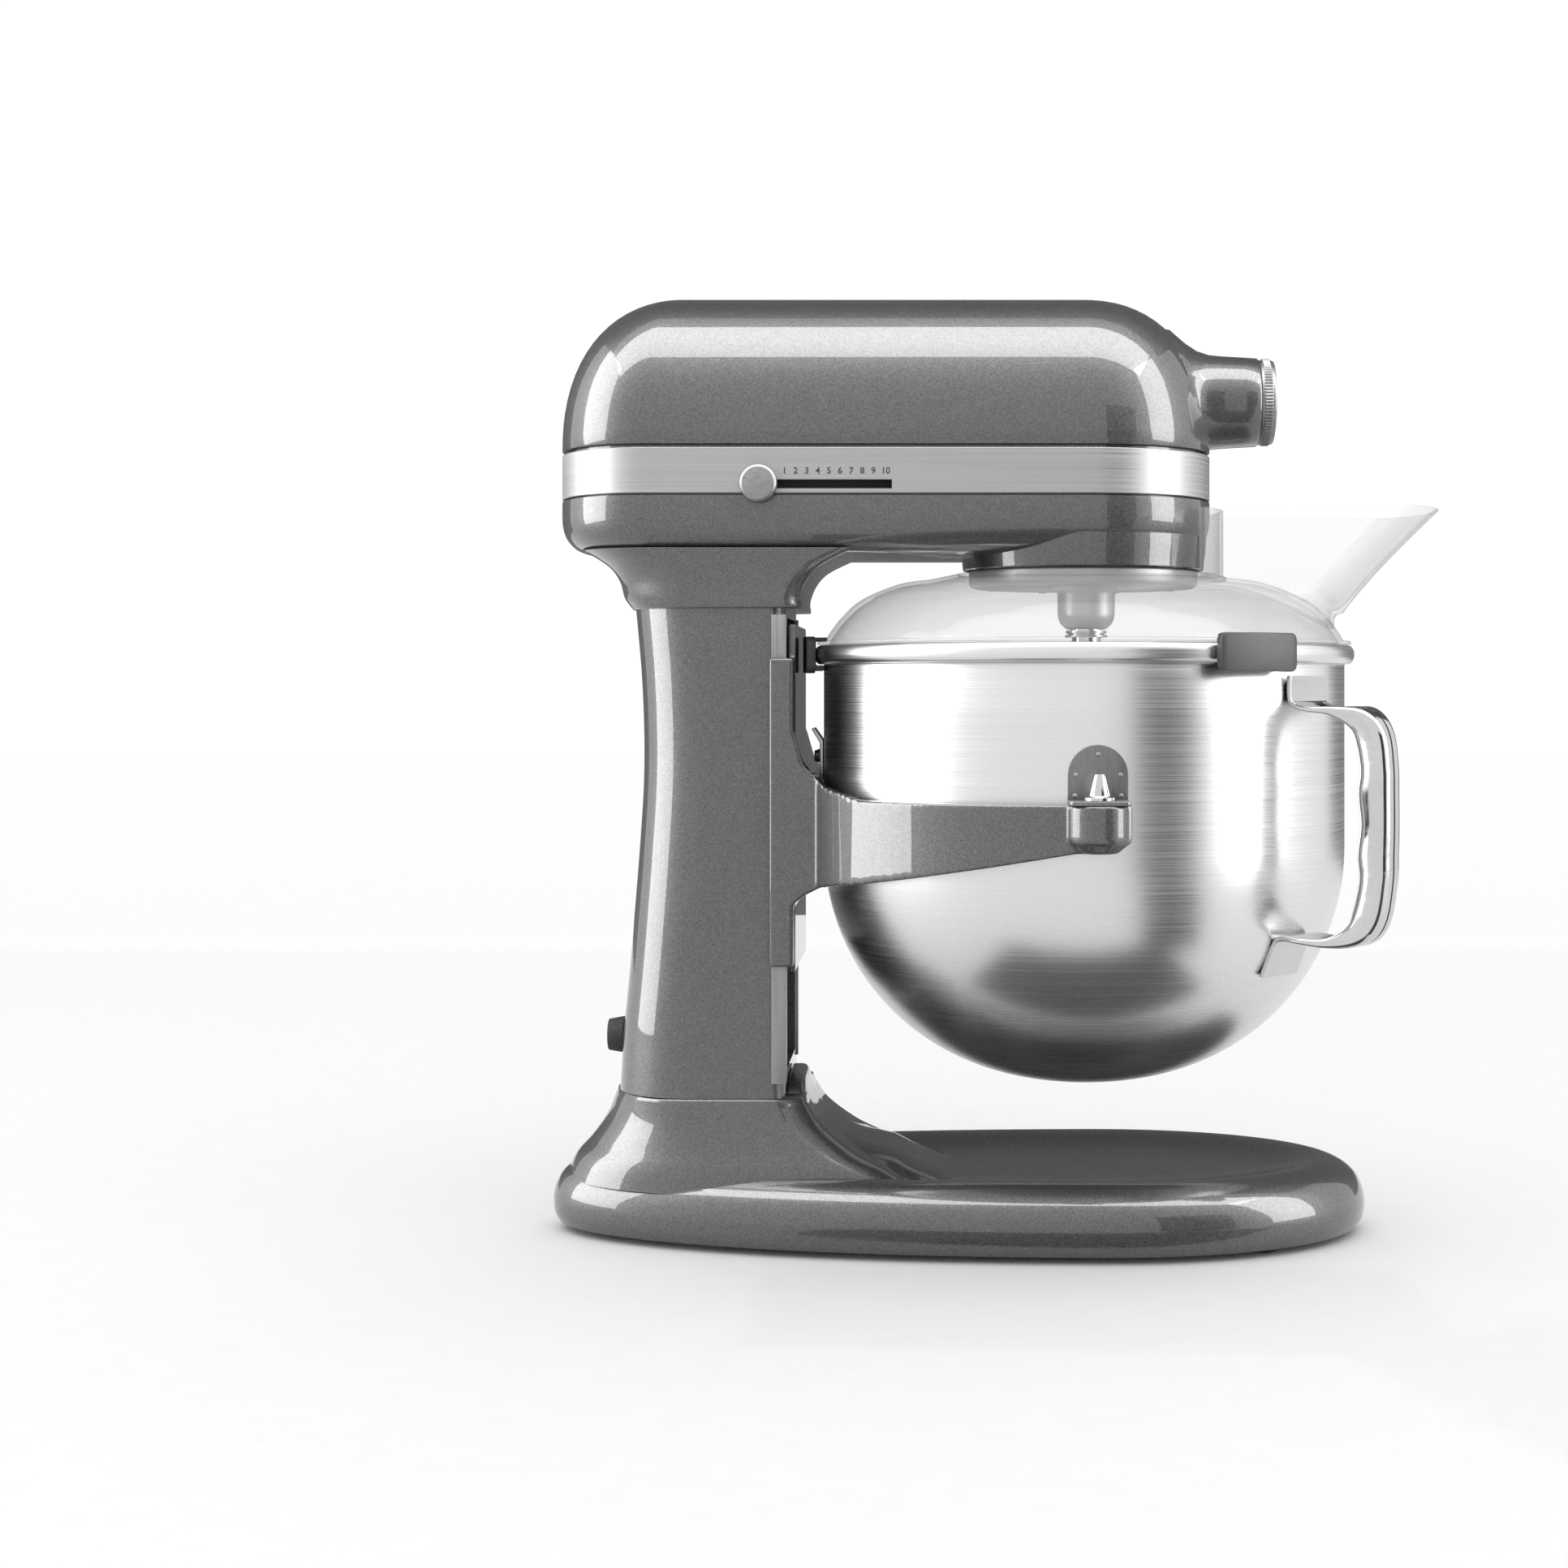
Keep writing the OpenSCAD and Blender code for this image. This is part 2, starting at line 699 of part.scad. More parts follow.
module stator_core() {
    color("#6a5f58")
        difference() {
            xcyl(motor_x[0] + 18, motor_x[0] + 66, can_r - 3, 0, motor_z);
            xcyl(motor_x[0] + 17, motor_x[0] + 67, 23, 0, motor_z);
        }
}

module brush_holders() {
    color("#b08d45")
        mirror_y()
            block([motor_x[1] - 11, 10.5, motor_z - 4], [motor_x[1] - 3, 30, motor_z + 4]);
}

module armature() {
    color("#a5623a")
        difference() {
            union() {
                xcyl(motor_x[0] + 20, motor_x[0] + 64, 22, 0, motor_z);
                xcyl(motor_x[0] + 13, motor_x[0] + 71, 17, 0, motor_z);
            }
            xcyl(motor_x[0] + 12, motor_x[0] + 72, small_shaft_r, 0, motor_z);
        }
}

module commutator() {
    color("#b87333")
        difference() {
            xcyl(motor_x[1] - 14, motor_x[1] - 1, 10, 0, motor_z);
            xcyl(motor_x[1] - 15, motor_x[1], small_shaft_r, 0, motor_z);
        }
}

module motor_shaft() {
    color(STEEL)
        xcyl(motor_x[0] - 28, spur_x[1] + 1, small_shaft_r, 0, motor_z);
}

module motor_pinion() {
    color(STEEL)
        translate([spur_x[0], 0, motor_z])
            rotate([0, 90, 0])
                difference() {
                    spur(motor_teeth, spur_module, spur_x[1] - spur_x[0]);
                    translate([0, 0, -1])
                        cylinder(h = 20, r = small_shaft_r);
                }
}

module cooling_fan() {
    x = motor_x[0] - 24;
    color(DARK)
        difference() {
            union() {
                xcyl(x, x + 12, 9, 0, motor_z);
                xcyl(x + 9, x + 11, 27, 0, motor_z);
                for (a = [0:40:320])
                    translate([x, 0, motor_z])
                        rotate([a, 0, 0])
                            block([1, 8, -0.8], [10, 27, 0.8]);
            }
            xcyl(x - 1, x + 13, small_shaft_r, 0, motor_z);
        }
}

module bearing(x0, x1, z) {
    difference() {
        xcyl(x0, x1, small_bearing_r, 0, z);
        xcyl(x0 - 1, x1 + 1, small_shaft_r + running_gap, 0, z);
    }
}

module small_bearings() {
    color(STEEL) {
        bearing(motor_x[0] - 7, motor_x[0] - 1, motor_z);
        bearing(motor_x[1] + 1, motor_x[1] + 7, motor_z);
        bearing(rear_wall_x[0], rear_wall_x[1], gear_axis_z);
        bearing(front_wall_x[0], front_wall_x[1], gear_axis_z);
    }
}

// ---------------------------------------------------------------- gearbox

tower_top_z = bevel_back_z - 12;

module gearbox_housing() {
    color(CAST)
        difference() {
            union() {
                zcyl(ceiling_z, ceiling_z + 4, 43, bowl_x);
                zcyl(ceiling_z - 3, tower_top_z, 17.6, bowl_x);
                block([rear_wall_x[0], -18, ceiling_z], [bowl_x, 18, ceiling_z + 4]);
                block([rear_wall_x[0], -18, ceiling_z], [rear_wall_x[1], 18, gear_axis_z + 13]);
                block([front_wall_x[0], -14, ceiling_z], [front_wall_x[1], 14, gear_axis_z + 13]);
            }
            zcyl(ceiling_z - 4, tower_top_z + 1, large_bearing_r, bowl_x);
            for (w = [rear_wall_x, front_wall_x])
                xcyl(w[0] - 1, w[1] + 1, small_bearing_r, 0, gear_axis_z);
            for (a = [45:90:315])
                zcyl(ceiling_z - 1, ceiling_z + 5, screw_r, bowl_x + 38 * cos(a), 38 * sin(a));
        }
}

module large_bearings() {
    color(STEEL)
        for (z = [ceiling_z - 3, tower_top_z - 8])
            difference() {
                zcyl(z, z + 8, large_bearing_r, bowl_x);
                zcyl(z - 1, z + 9, centre_shaft_r + running_gap, bowl_x);
            }
}

module reduction_gear() {
    color(CAST)
        translate([spur_x[0], 0, gear_axis_z])
            rotate([0, 90, 0])
                difference() {
                    spur(reduction_teeth, spur_module, spur_x[1] - spur_x[0]);
                    translate([0, 0, -1])
                        cylinder(h = 20, r = small_shaft_r);
                    for (a = [0:72:288])
                        rotate([0, 0, a])
                            translate([14, 0, -1])
                                cylinder(h = 20, r = 4.5);
                }
}

module reduction_shaft() {
    color(STEEL)
        xcyl(spur_x[0] - 3, bowl_x - bevel_r + bevel_r * (1 - bevel_taper), small_shaft_r, 0, gear_axis_z);
}

// Bevel pinion with its apex at the origin, lying along -X, a tooth gap below
module bevel_pinion(bore_r) {
    translate([-bevel_r, 0, 0])
        rotate([0, 90, 0])
            difference() {
                rotate([0, 0, 180 / bevel_pinion_teeth])
                    bevel_teeth_solid(bevel_pinion_teeth, bevel_r);
                translate([0, 0, -1])
                    cylinder(h = 20, r = bore_r);
            }
}

module drive_bevel_pinion() {
    color(STEEL)
        translate([bowl_x, 0, gear_axis_z])
            bevel_pinion(small_shaft_r);
}

module pto_bevel_pinion() {
    color(STEEL)
        translate([bowl_x, 0, gear_axis_z])
            mirror([1, 0, 0])
                bevel_pinion(small_shaft_r);
}

module centre_shaft() {
    color(STEEL)
        zcyl(disc_z + 1, bevel_back_z + 3, centre_shaft_r, bowl_x);
}

module bevel_gear() {
    color(CAST)
        difference() {
            union() {
                translate([bowl_x, 0, bevel_back_z])
                    bevel_teeth_solid(bevel_teeth, bevel_pinion_r);
                zcyl(bevel_back_z - 4, bevel_back_z, bevel_r - 6, bowl_x);
                zcyl(tower_top_z + 1, bevel_back_z, 14, bowl_x);
            }
            zcyl(tower_top_z, bevel_back_z + 10, centre_shaft_r, bowl_x);
        }
}

module ring_gear() {
    pitch_r = ring_teeth * ring_module / 2;
    color(CAST)
        translate([bowl_x, 0, ring_z])
            difference() {
                cylinder(h = ring_h, r = ring_outer_r);
                translate([0, 0, -1])
                    linear_extrude(ring_h + 2)
                        polygon(gear_outline(ring_teeth, involute_flank(
                            ring_teeth, ring_module, pitch_r - 0.8 * ring_module,
                            pitch_r + 1.1 * ring_module, -0.16)));
            }
}

// ---------------------------------------------------------------- planetary

module planetary_disc() {
    fillet = 3;
    profile = concat(
        [[0, disc_z]],
        arc([planetary_r - fillet, disc_z + fillet], [fillet, fillet], -90, 0, 6),
        [[planetary_r, disc_top_z], [0, disc_top_z]]
    );
    boss_r2 = agitator_r + 5.8;
    boss = concat(
        [[0, agitator_boss_z]],
        arc([boss_r2 - 4.5, agitator_boss_z + 3.5], [3.5, 3.5], -90, 0, 5),
        [[boss_r2, disc_z + 1], [0, disc_z + 1]]
    );
    color("#b4b6b8")
        difference() {
            union() {
                translate([bowl_x, 0, 0])
                    rotate_extrude()
                        polygon(profile);
                translate([bowl_x, planet_y, 0])
                    rotate_extrude()
                        polygon(boss);
            }
            zcyl(disc_z + 1, disc_top_z + 1, centre_shaft_r, bowl_x);
            zcyl(agitator_boss_z - 1, disc_top_z + 1, agitator_r + running_gap, bowl_x, planet_y);
        }
}

module agitator_shaft() {
    color(STEEL)
        difference() {
            union() {
                zcyl(agitator_boss_z - 3.6, ring_z + ring_h, agitator_r, bowl_x, planet_y);
                zcyl(tool_tip_z + 1, agitator_boss_z - 3, tool_shaft_r, bowl_x, planet_y);
                zcyl(tool_tip_z, tool_tip_z + 1, tool_shaft_r - 1, bowl_x, planet_y, tool_shaft_r);
            }
            xcyl(bowl_x - 10, bowl_x + 10, tool_pin_r, planet_y, tool_pin_z);
            // Relief groove at the top of the plain end
            difference() {
                zcyl(tool_tip_z + 13, tool_tip_z + 14.2, tool_shaft_r + 1, bowl_x, planet_y);
                zcyl(tool_tip_z + 12, tool_tip_z + 15, tool_shaft_r - 0.3, bowl_x, planet_y);
            }
        }
}

module planet_pinion() {
    color(STEEL)
        translate([bowl_x, planet_y, ring_z + 0.5])
            difference() {
                rotate([0, 0, 90])
                    spur(planet_teeth, ring_module, ring_h - 1.5, 0.16);
                translate([0, 0, -1])
                    cylinder(h = 20, r = agitator_r);
            }
}

module drip_ring() {
    z = agitator_boss_z - 3.8;
    color(STEEL)
        difference() {
            union() {
                zcyl(z, z + 1.3, 9.4, bowl_x, planet_y);
                zcyl(z + 1.2, z + 2, 8, bowl_x, planet_y);
                zcyl(z + 1.9, z + 3.2, 9, bowl_x, planet_y);
            }
            zcyl(z - 1, z + 5, agitator_r, bowl_x, planet_y);
        }
}

module tool_pin() {
    color(STEEL)
        xcyl(bowl_x - 10.5, bowl_x + 10.5, tool_pin_r, planet_y, tool_pin_z);
}

// ---------------------------------------------------------------- attachment hub

module hub_bush() {
    color("#b08d45")
        difference() {
            xcyl(hub_bore_x - 14, hub_bore_x, 13.5, 0, gear_axis_z);
            xcyl(hub_bore_x - 15, hub_bore_x + 1, 8 + running_gap, 0, gear_axis_z);
        }
}

socket_w = 8.4;
module pto_shaft() {
    pinion_back = bowl_x + bevel_r;
    end = hub_bore_x - 0.5;
    color(STEEL)
        difference() {
            union() {
                xcyl(pinion_back - bevel_r * (1 - bevel_taper), pinion_back + 1,
                     small_shaft_r, 0, gear_axis_z);
                xcyl(pinion_back, end, 8, 0, gear_axis_z);
            }
            block([end - 14, -socket_w / 2, gear_axis_z - socket_w / 2],
                  [end + 1, socket_w / 2, gear_axis_z + socket_w / 2]);
        }
}

module hub_cap() {
    ridges = 60;
    knurl = [
        for (i = [0:2 * ridges - 1])
            let (a = 180 * i / ridges, r = i % 2 == 0 ? 19.8 : 19.2)
            r * [cos(a), sin(a)]
    ];
    color(STEEL)
        difference() {
            union() {
                translate([hub_end_x, 0, gear_axis_z])
                    rotate([0, 90, 0]) {
                        linear_extrude(6)
                            polygon(knurl);
                        translate([0, 0, 5.9])
                            cylinder(h = 1.1, r1 = 19.2, r2 = 18.2);
                    }
                xcyl(hub_seat_x + 0.6, hub_end_x + 1, hub_seat_r - 0.08, 0, gear_axis_z);
            }
            xcyl(hub_seat_x, hub_end_x + 2, hub_bore_r + 0.2, 0, gear_axis_z);
        }
}

lock_x = hub_end_x - 14;
module lock_knob() {
    lobes = 5;
    outline = [
        for (a = [0:6:354])
            (9.6 + 0.9 * cos(lobes * a)) * [cos(a), sin(a)]
    ];
    color(DARK)
        difference() {
            translate([lock_x, 35.5, gear_axis_z])
                rotate([90, 0, 0])
                    linear_extrude(13)
                        polygon(outline);
            ycyl(22, 31, 3, lock_x, gear_axis_z);
        }
}

module lock_screw() {
    color(STEEL)
        ycyl(hub_bore_r + 0.4, 31, 3, lock_x, gear_axis_z);
}

// ---------------------------------------------------------------- bowl carriage

bracket_rear_x = crank_pin_x - 17.5;
carriage_rear_x = plate_rear_x - 10.2;

module bowl_carriage() {
    root_z = arm_top_z - 37;
    arm_side = [
        [plate_rear_x, root_z - 12],
        [plate_front_x + 4, root_z - 6],
        [plate_front_x + 12, root_z - 2],
        [plate_front_x + 22, root_z],
        [bowl_x - 10, arm_top_z - 20],
        [bowl_x, arm_top_z - 20],
        [bowl_x, arm_top_z],
        [plate_front_x + 30, arm_top_z],
        [plate_front_x + 13, arm_top_z + 5],
        [plate_front_x + 4, arm_top_z + 14],
        [plate_front_x, arm_top_z + 28],
        [plate_rear_x, arm_top_z + 28]
    ];
    color(PAINT)
        difference() {
            union() {
                intersection() {
                    difference() {
                        zcyl(root_z - 14, arm_top_z + 30, arm_out_r, bowl_x);
                        zcyl(root_z - 15, arm_top_z + 31, arm_in_r, bowl_x);
                    }
                    side_prism(arm_side, -arm_out_r - 1, arm_out_r + 1);
                }
                // Web that fills in between the plate and the arms' ring
                intersection() {
                    side_prism(arm_side, -flange_y - flange_t, flange_y + flange_t);
                    block([plate_rear_x, -flange_y - flange_t, root_z - 20],
                          [bowl_x - arm_in_r * cos(27), flange_y + flange_t, arm_top_z + 30]);
                }
                block([plate_rear_x, -column_hw + 1, plate_bottom_z - 3],
                      [plate_front_x, column_hw - 1, plate_top_z]);
                block([plate_rear_x, -flange_y - flange_t, plate_bottom_z],
                      [plate_front_x - 0.6, flange_y + flange_t, flange_top_z]);
                mirror_y()
                    block([rail_x - 0.6, flange_y, plate_bottom_z],
                          [plate_rear_x + 1, flange_y + flange_t, flange_top_z]);
                block([carriage_rear_x, -column_hw + 16, plate_bottom_z + 28],
                      [plate_rear_x + 1, column_hw - 16, plate_top_z - 12]);
                mirror_y() {
                    zcyl(arm_top_z - 15, arm_top_z, boss_r, bowl_x, boss_y);
                    zcyl(arm_top_z - 20, arm_top_z - 15, boss_r - 6, bowl_x, boss_y, boss_r);
                }
            }
            zcyl(root_z - 30, plate_top_z + 5, arm_in_r, bowl_x);
            mirror_y()
                zcyl(arm_top_z - 12, arm_top_z + 1, locating_pin_r, bowl_x, boss_y + 4);
        }
}

module locating_pins() {
    color(STEEL)
        mirror_y() {
            zcyl(arm_top_z - 12, arm_top_z + 3, locating_pin_r, bowl_x, boss_y + 4);
            zcyl(arm_top_z + 3, arm_top_z + 13, locating_pin_r, bowl_x, boss_y + 4, locating_pin_r - 2.3);
        }
}

roller_r = 5;
module lift_bracket() {
    slot_gap = 1;
    pin_z = crank_pin_z;
    color(CAST)
        difference() {
            block([bracket_rear_x, -6, pin_z - 13], [carriage_rear_x, 2, pin_z + 13]);
            block([crank_pin_x - 14, -7, pin_z - roller_r - slot_gap],
                  [crank_pin_x + 9, 3, pin_z + roller_r + slot_gap]);
        }
}

// ---------------------------------------------------------------- bowl

// Outer profile of the bowl drawn in by w, from the axis out and up
function bowl_curve(w) = concat(
    [[0, bowl_bottom_z + w]],
    [for (a = [74:-74 / 18:-0.01])
        [(bowl_r - w) * pow(cos(a), 0.9), round_z - (bowl_round_h - w) * sin(a)]],
    [[bowl_r - w, round_z + 1]]
);

module mixing_bowl() {
    bead_r = bead_out / 2 + 0.6;
    bead = arc([bowl_r + bead_out - bead_r, rim_z - 4.35], [bead_r, 4.35], -150, 100, 16);
    profile = concat(bowl_curve(0), [[bowl_r, rim_z - 7]], bead,
                     [[bowl_r - bowl_wall, rim_z - 1.5]], reversed(bowl_curve(bowl_wall)));
    color(STEEL)
        translate([bowl_x, 0, 0])
            rotate_extrude()
                polygon(profile);
}

module bowl_side_brackets() {
    half_w = 12.5;
    plate_t2 = 1.5;
    color(STEEL)
        mirror_y() {
            intersection() {
                difference() {
                    zcyl(arm_top_z, arm_top_z + 26, bowl_r + plate_t2, bowl_x);
                    zcyl(arm_top_z - 1, arm_top_z + 27, bowl_r, bowl_x);
                }
                union() {
                    block([bowl_x - half_w, 60, arm_top_z],
                          [bowl_x + half_w, bowl_r + 6, arm_top_z + 12]);
                    ycyl(60, bowl_r + 6, half_w, bowl_x, arm_top_z + 12);
                }
            }
            difference() {
                block([bowl_x - half_w, bowl_r - 6, arm_top_z],
                      [bowl_x + half_w, boss_y + 11.5, arm_top_z + 2]);
                zcyl(arm_top_z - 1, arm_top_z + 3, bowl_r + 0.2, bowl_x);
                zcyl(arm_top_z - 1, arm_top_z + 3, locating_pin_r, bowl_x, boss_y + 4);
            }
        }
}

// How far the bowl's rounded wall at height z stands out from its straight part
function wall_step(z) = bowl_r * (pow(cos(asin((round_z - z) / bowl_round_h)), 0.9) - 1);

// One section of the handle: offset from the bowl's wall, height, normal angle, width, depth
function handle_ring(s) =
    let (
        n = [cos(s[2]), 0, sin(s[2])],
        w = s[3] / 2,
        t = s[4] / 2,
        c = min(w, t) * 0.55,
        centre = [bowl_r + s[0], 0, s[1]]
    )
    [for (p = [[-w, -t + c], [-w + c, -t], [w - c, -t], [w, -t + c],
               [w, t - c], [w - c, t], [-w + c, t], [-w, t - c]])
        centre + [0, p[0], 0] + p[1] * n];

module bowl_handle() {
    top = rim_z - 27;
    foot = round_z - 36;
    mid = (top + foot) / 2;
    sections = [
        [1.3, top + 13, 0, 28, 2], [1.3, top + 4, 0, 28, 2], [3.2, top + 0.8, 50, 28, 2],
        [9, top - 1, 90, 27, 2.2], [20, top - 2, 87, 22, 4], [30, top - 5.5, 62, 17, 11],
        [35, top - 13, 25, 15, 14.5], [36.6, top - 32, 3, 15, 15],
        [36.8, mid, 0, 15, 15], [36.2, foot + 27, -4, 15, 15], [33.5, foot + 10, -25, 15, 14.5],
        [28, foot + 2.6, -58, 17, 10], [17, foot - 1, -90, 22, 4], [4, foot - 0.2, -94, 28, 2.2],
        [wall_step(foot + 0.4) + 1.87, foot + 0.4, -80, 28, 2],
        [wall_step(foot - 3.4) - 0.12, foot - 3.4, -24, 28, 2],
        [wall_step(foot - 17) + 0.84, foot - 17, -24, 28, 2]
    ];
    color(STEEL)
        translate([bowl_x, 0, 0])
            rotate([0, 0, handle_angle])
                difference() {
                    loft([for (s = sections) handle_ring(s)]);
                    translate([-bowl_x, 0, 0])
                        bowl_body();
                }
}

// The bowl's filled outer body below its rim
module bowl_body() {
    translate([bowl_x, 0, 0])
        rotate_extrude()
            polygon(concat(bowl_curve(0), [[bowl_r, rim_z], [0, rim_z]]));
}

module bowl_rear_clip() {
    x = bowl_x - bowl_r;
    z = arm_top_z + 17;
    color(DARK) {
        side_prism([[x - 1.6, z - 11], [x, z - 11], [x, z + 7],
                    [x - 4.2, z + 13], [x - 5.4, z + 12.4], [x - 1.6, z + 6]], -9, 9);
        xcyl(x - 4.4, x - 1.5, 2.4, 0, z, 3.4);
    }
}

// ---------------------------------------------------------------- pouring shield

shield_base_z = rim_z + shield_gap;
shield_hole_r = planetary_r + 5;
shield_hole_z = collar_z - 1.2;
dome_t = 1.8;

// Height of the dome's outer surface over radius
function dome_z(r) = lookup(r, [
    [shield_hole_r, shield_hole_z], [shield_hole_r + 15, shield_hole_z - 3.2],
    [bowl_r - 33, shield_hole_z - 5.2], [bowl_r - 17, shield_hole_z - 12],
    [bowl_r - 8, shield_hole_z - 20], [bowl_r - 2.6, shield_hole_z - 27],
    [bowl_r - 0.5, shield_base_z + 1.6]
]);

dome_radii = [
    shield_hole_r, shield_hole_r + 15, bowl_r - 33, bowl_r - 17, bowl_r - 8, bowl_r - 2.6, bowl_r - 0.5
];

// Chute outline: back radius, front radius, half angle of the back, half width of the front
function chute_plan(back_r, front_r, back_a, front_hw, tip) =
    let (
        side_x = back_r + 0.35 * (front_r - back_r),
        side_y = back_r * sin(back_a) + 0.35 * (front_hw - back_r * sin(back_a))
    )
    concat(
        arc([0, 0], [back_r, back_r], back_a, -back_a, 8),
        [[side_x, -side_y]],
        arc([front_r - tip, 0], [tip, front_hw], -72, 72, 8),
        [[side_x, side_y]]
    );

chute_wall = 1.8;
chute_back_r = head_hw + 4.5;
chute_top_z = rim_z + 61;
function chute_ring(k, inset) =
    let (
        back = chute_back_r + inset,
        front = bowl_r - 4 + 47 * pow(max(0, k - 0.1) / 0.9, 1.2) - inset,
        half = 36 + 14 * k - inset,
        plan = chute_plan(back, front, 37 - inset * 0.9, half, 22 + 6 * k)
    )
    [for (p = plan)
        let (low = dome_z(norm(p)) + 0.3)
        [bowl_x + p[0], p[1], low + k * (chute_top_z - low)]];

chute_steps = [0, 0.12, 0.25, 0.45, 0.7, 1];

module chute_cutter() {
    translate([bowl_x, 0, rim_z + 2])
        linear_extrude(60)
            polygon(chute_plan(chute_back_r + 3, bowl_r - 7, 34, 33, 22));
}

module shield_dome() {
    outer = [for (r = dome_radii) [r, dome_z(r)]];
    inner = [for (r = dome_radii) [r - (r > bowl_r - 20 ? dome_t : 0), dome_z(r) - dome_t]];
    flange = [
        [bowl_r - 0.5, shield_base_z + 1.6], [bowl_r + 3, shield_base_z + 1.6],
        [bowl_r + 3, shield_base_z], [bowl_r - 6, shield_base_z]
    ];
    color(CLEAR)
        difference() {
            translate([bowl_x, 0, 0])
                rotate_extrude()
                    polygon(concat([for (i = [0:len(outer) - 2]) outer[i]], flange,
                                   reversed([for (i = [0:len(inner) - 2]) inner[i]])));
            chute_cutter();
        }
}

module pour_chute() {
    color(CLEAR)
        loft_tube(concat(
            [for (k = chute_steps) reversed(chute_ring(k, 0))],
            [for (k = reversed(chute_steps)) reversed(chute_ring(k, chute_wall))]
        ));
}

module shield_clips() {
    half_angle = 8;
    top = shield_base_z + 3.6;
    bottom = rim_z - 12.5;
    color(DARK)
        for (a = [-56, -176, 64])
            translate([bowl_x, 0, 0])
                rotate([0, 0, a - half_angle])
                    rotate_extrude(angle = 2 * half_angle)
                        polygon([
                            [bowl_r - 0.5, shield_base_z + 1.6], [clip_in_r, shield_base_z + 1.6],
                            [clip_in_r, rim_z - 9.2], [bowl_r + 1, rim_z - 9.2], [bowl_r + 1, bottom],
                            [clip_out_r - 1, bottom], [clip_out_r, bottom + 1], [clip_out_r, top - 1],
                            [clip_out_r - 1, top], [bowl_r - 0.5, top]
                        ]);
}

// ---------------------------------------------------------------- lift lever

lever_y = rail_y + 3.5;
lever_len = 74;

module lever_bush() {
    color("#b08d45")
        difference() {
            union() {
                ycyl(column_hw - 8, column_hw + 2, lever_shaft_r + 4, lever_x, lever_z);
                ycyl(column_hw + 1.8, lever_y - 0.4, lever_shaft_r + 2, lever_x, lever_z);
            }
            ycyl(column_hw - 9, lever_y, lever_shaft_r + running_gap, lever_x, lever_z);
        }
}

module lift_shaft() {
    color(STEEL)
        ycyl(3, lever_y + 8, lever_shaft_r, lever_x, lever_z);
}

module lift_lever() {
    color(STEEL)
        difference() {
            union() {
                ycyl(lever_y, lever_y + 9, 11, lever_x, lever_z);
                side_prism([[lever_x - 8, lever_z], [lever_x + 8, lever_z],
                            [lever_x + 5.5, lever_z + lever_len - 44],
                            [lever_x - 5.5, lever_z + lever_len - 44]], lever_y + 1, lever_y + 8);
                zcyl(lever_z + lever_len - 50, lever_z + lever_len - 6, 3, lever_x, lever_y + 4.5);
            }
            ycyl(lever_y - 1, lever_y + 8, lever_shaft_r, lever_x, lever_z);
        }
}

module lever_grip() {
    z0 = lever_z + lever_len - 44;
    profile = concat([[0, 0], [6, 0], [7.6, 3]],
                     arc([0, 46], [8.6, 6], 0, 90, 8));
    color(DARK)
        difference() {
            translate([lever_x, lever_y + 4.5, z0])
                rotate_extrude()
                    polygon(profile);
            zcyl(z0 - 1, lever_z + lever_len - 6, 3, lever_x, lever_y + 4.5);
        }
}

module lift_crank() {
    color(STEEL) {
        difference() {
            union() {
                ycyl(3.2, 8, lever_shaft_r + 2.6, lever_x, lever_z);
                ycyl(3.2, 8, 5.4, crank_pin_x, crank_pin_z);
                translate([lever_x, 3.6, lever_z])
                    rotate([0, -135, 0])
                        block([0, 0, -4.5], [crank_r, 4, 4.5]);
            }
            ycyl(2, 9, lever_shaft_r, lever_x, lever_z);
        }
        ycyl(-6, 3.3, 3, crank_pin_x, crank_pin_z);
    }
}

module crank_roller() {
    color("#d8d8d4")
        difference() {
            ycyl(-6, 1.8, roller_r, crank_pin_x, crank_pin_z);
            ycyl(-7, 3, 3, crank_pin_x, crank_pin_z);
        }
}

// ---------------------------------------------------------------- assembly

base_casting();
rubber_feet();
frame_screws();
column_casting();
guide_rails();
rail_screws();
cord_gland();
head_lower_housing();
head_top_cover();
trim_band();
slider_track();
speed_knob();
slider_carrier();
control_board();
motor_can();
motor_end_bells();
stator_core();
brush_holders();
armature();
commutator();
motor_shaft();
motor_pinion();
cooling_fan();
small_bearings();
large_bearings();
gearbox_housing();
reduction_gear();
reduction_shaft();
drive_bevel_pinion();
centre_shaft();
bevel_gear();
ring_gear();
planetary_disc();
agitator_shaft();
planet_pinion();
drip_ring();
tool_pin();
hub_bush();
pto_shaft();
pto_bevel_pinion();
hub_cap();
lock_knob();
lock_screw();
bowl_carriage();
locating_pins();
lift_bracket();
mixing_bowl();
bowl_side_brackets();
bowl_handle();
bowl_rear_clip();
shield_dome();
pour_chute();
shield_clips();
lift_lever();
lever_grip();
lift_shaft();
lift_crank();
crank_roller();
lever_bush();
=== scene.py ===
import json
from math import cos, hypot, pi, radians, sin, sqrt

import bmesh
import bpy
from mathutils import Matrix, Vector


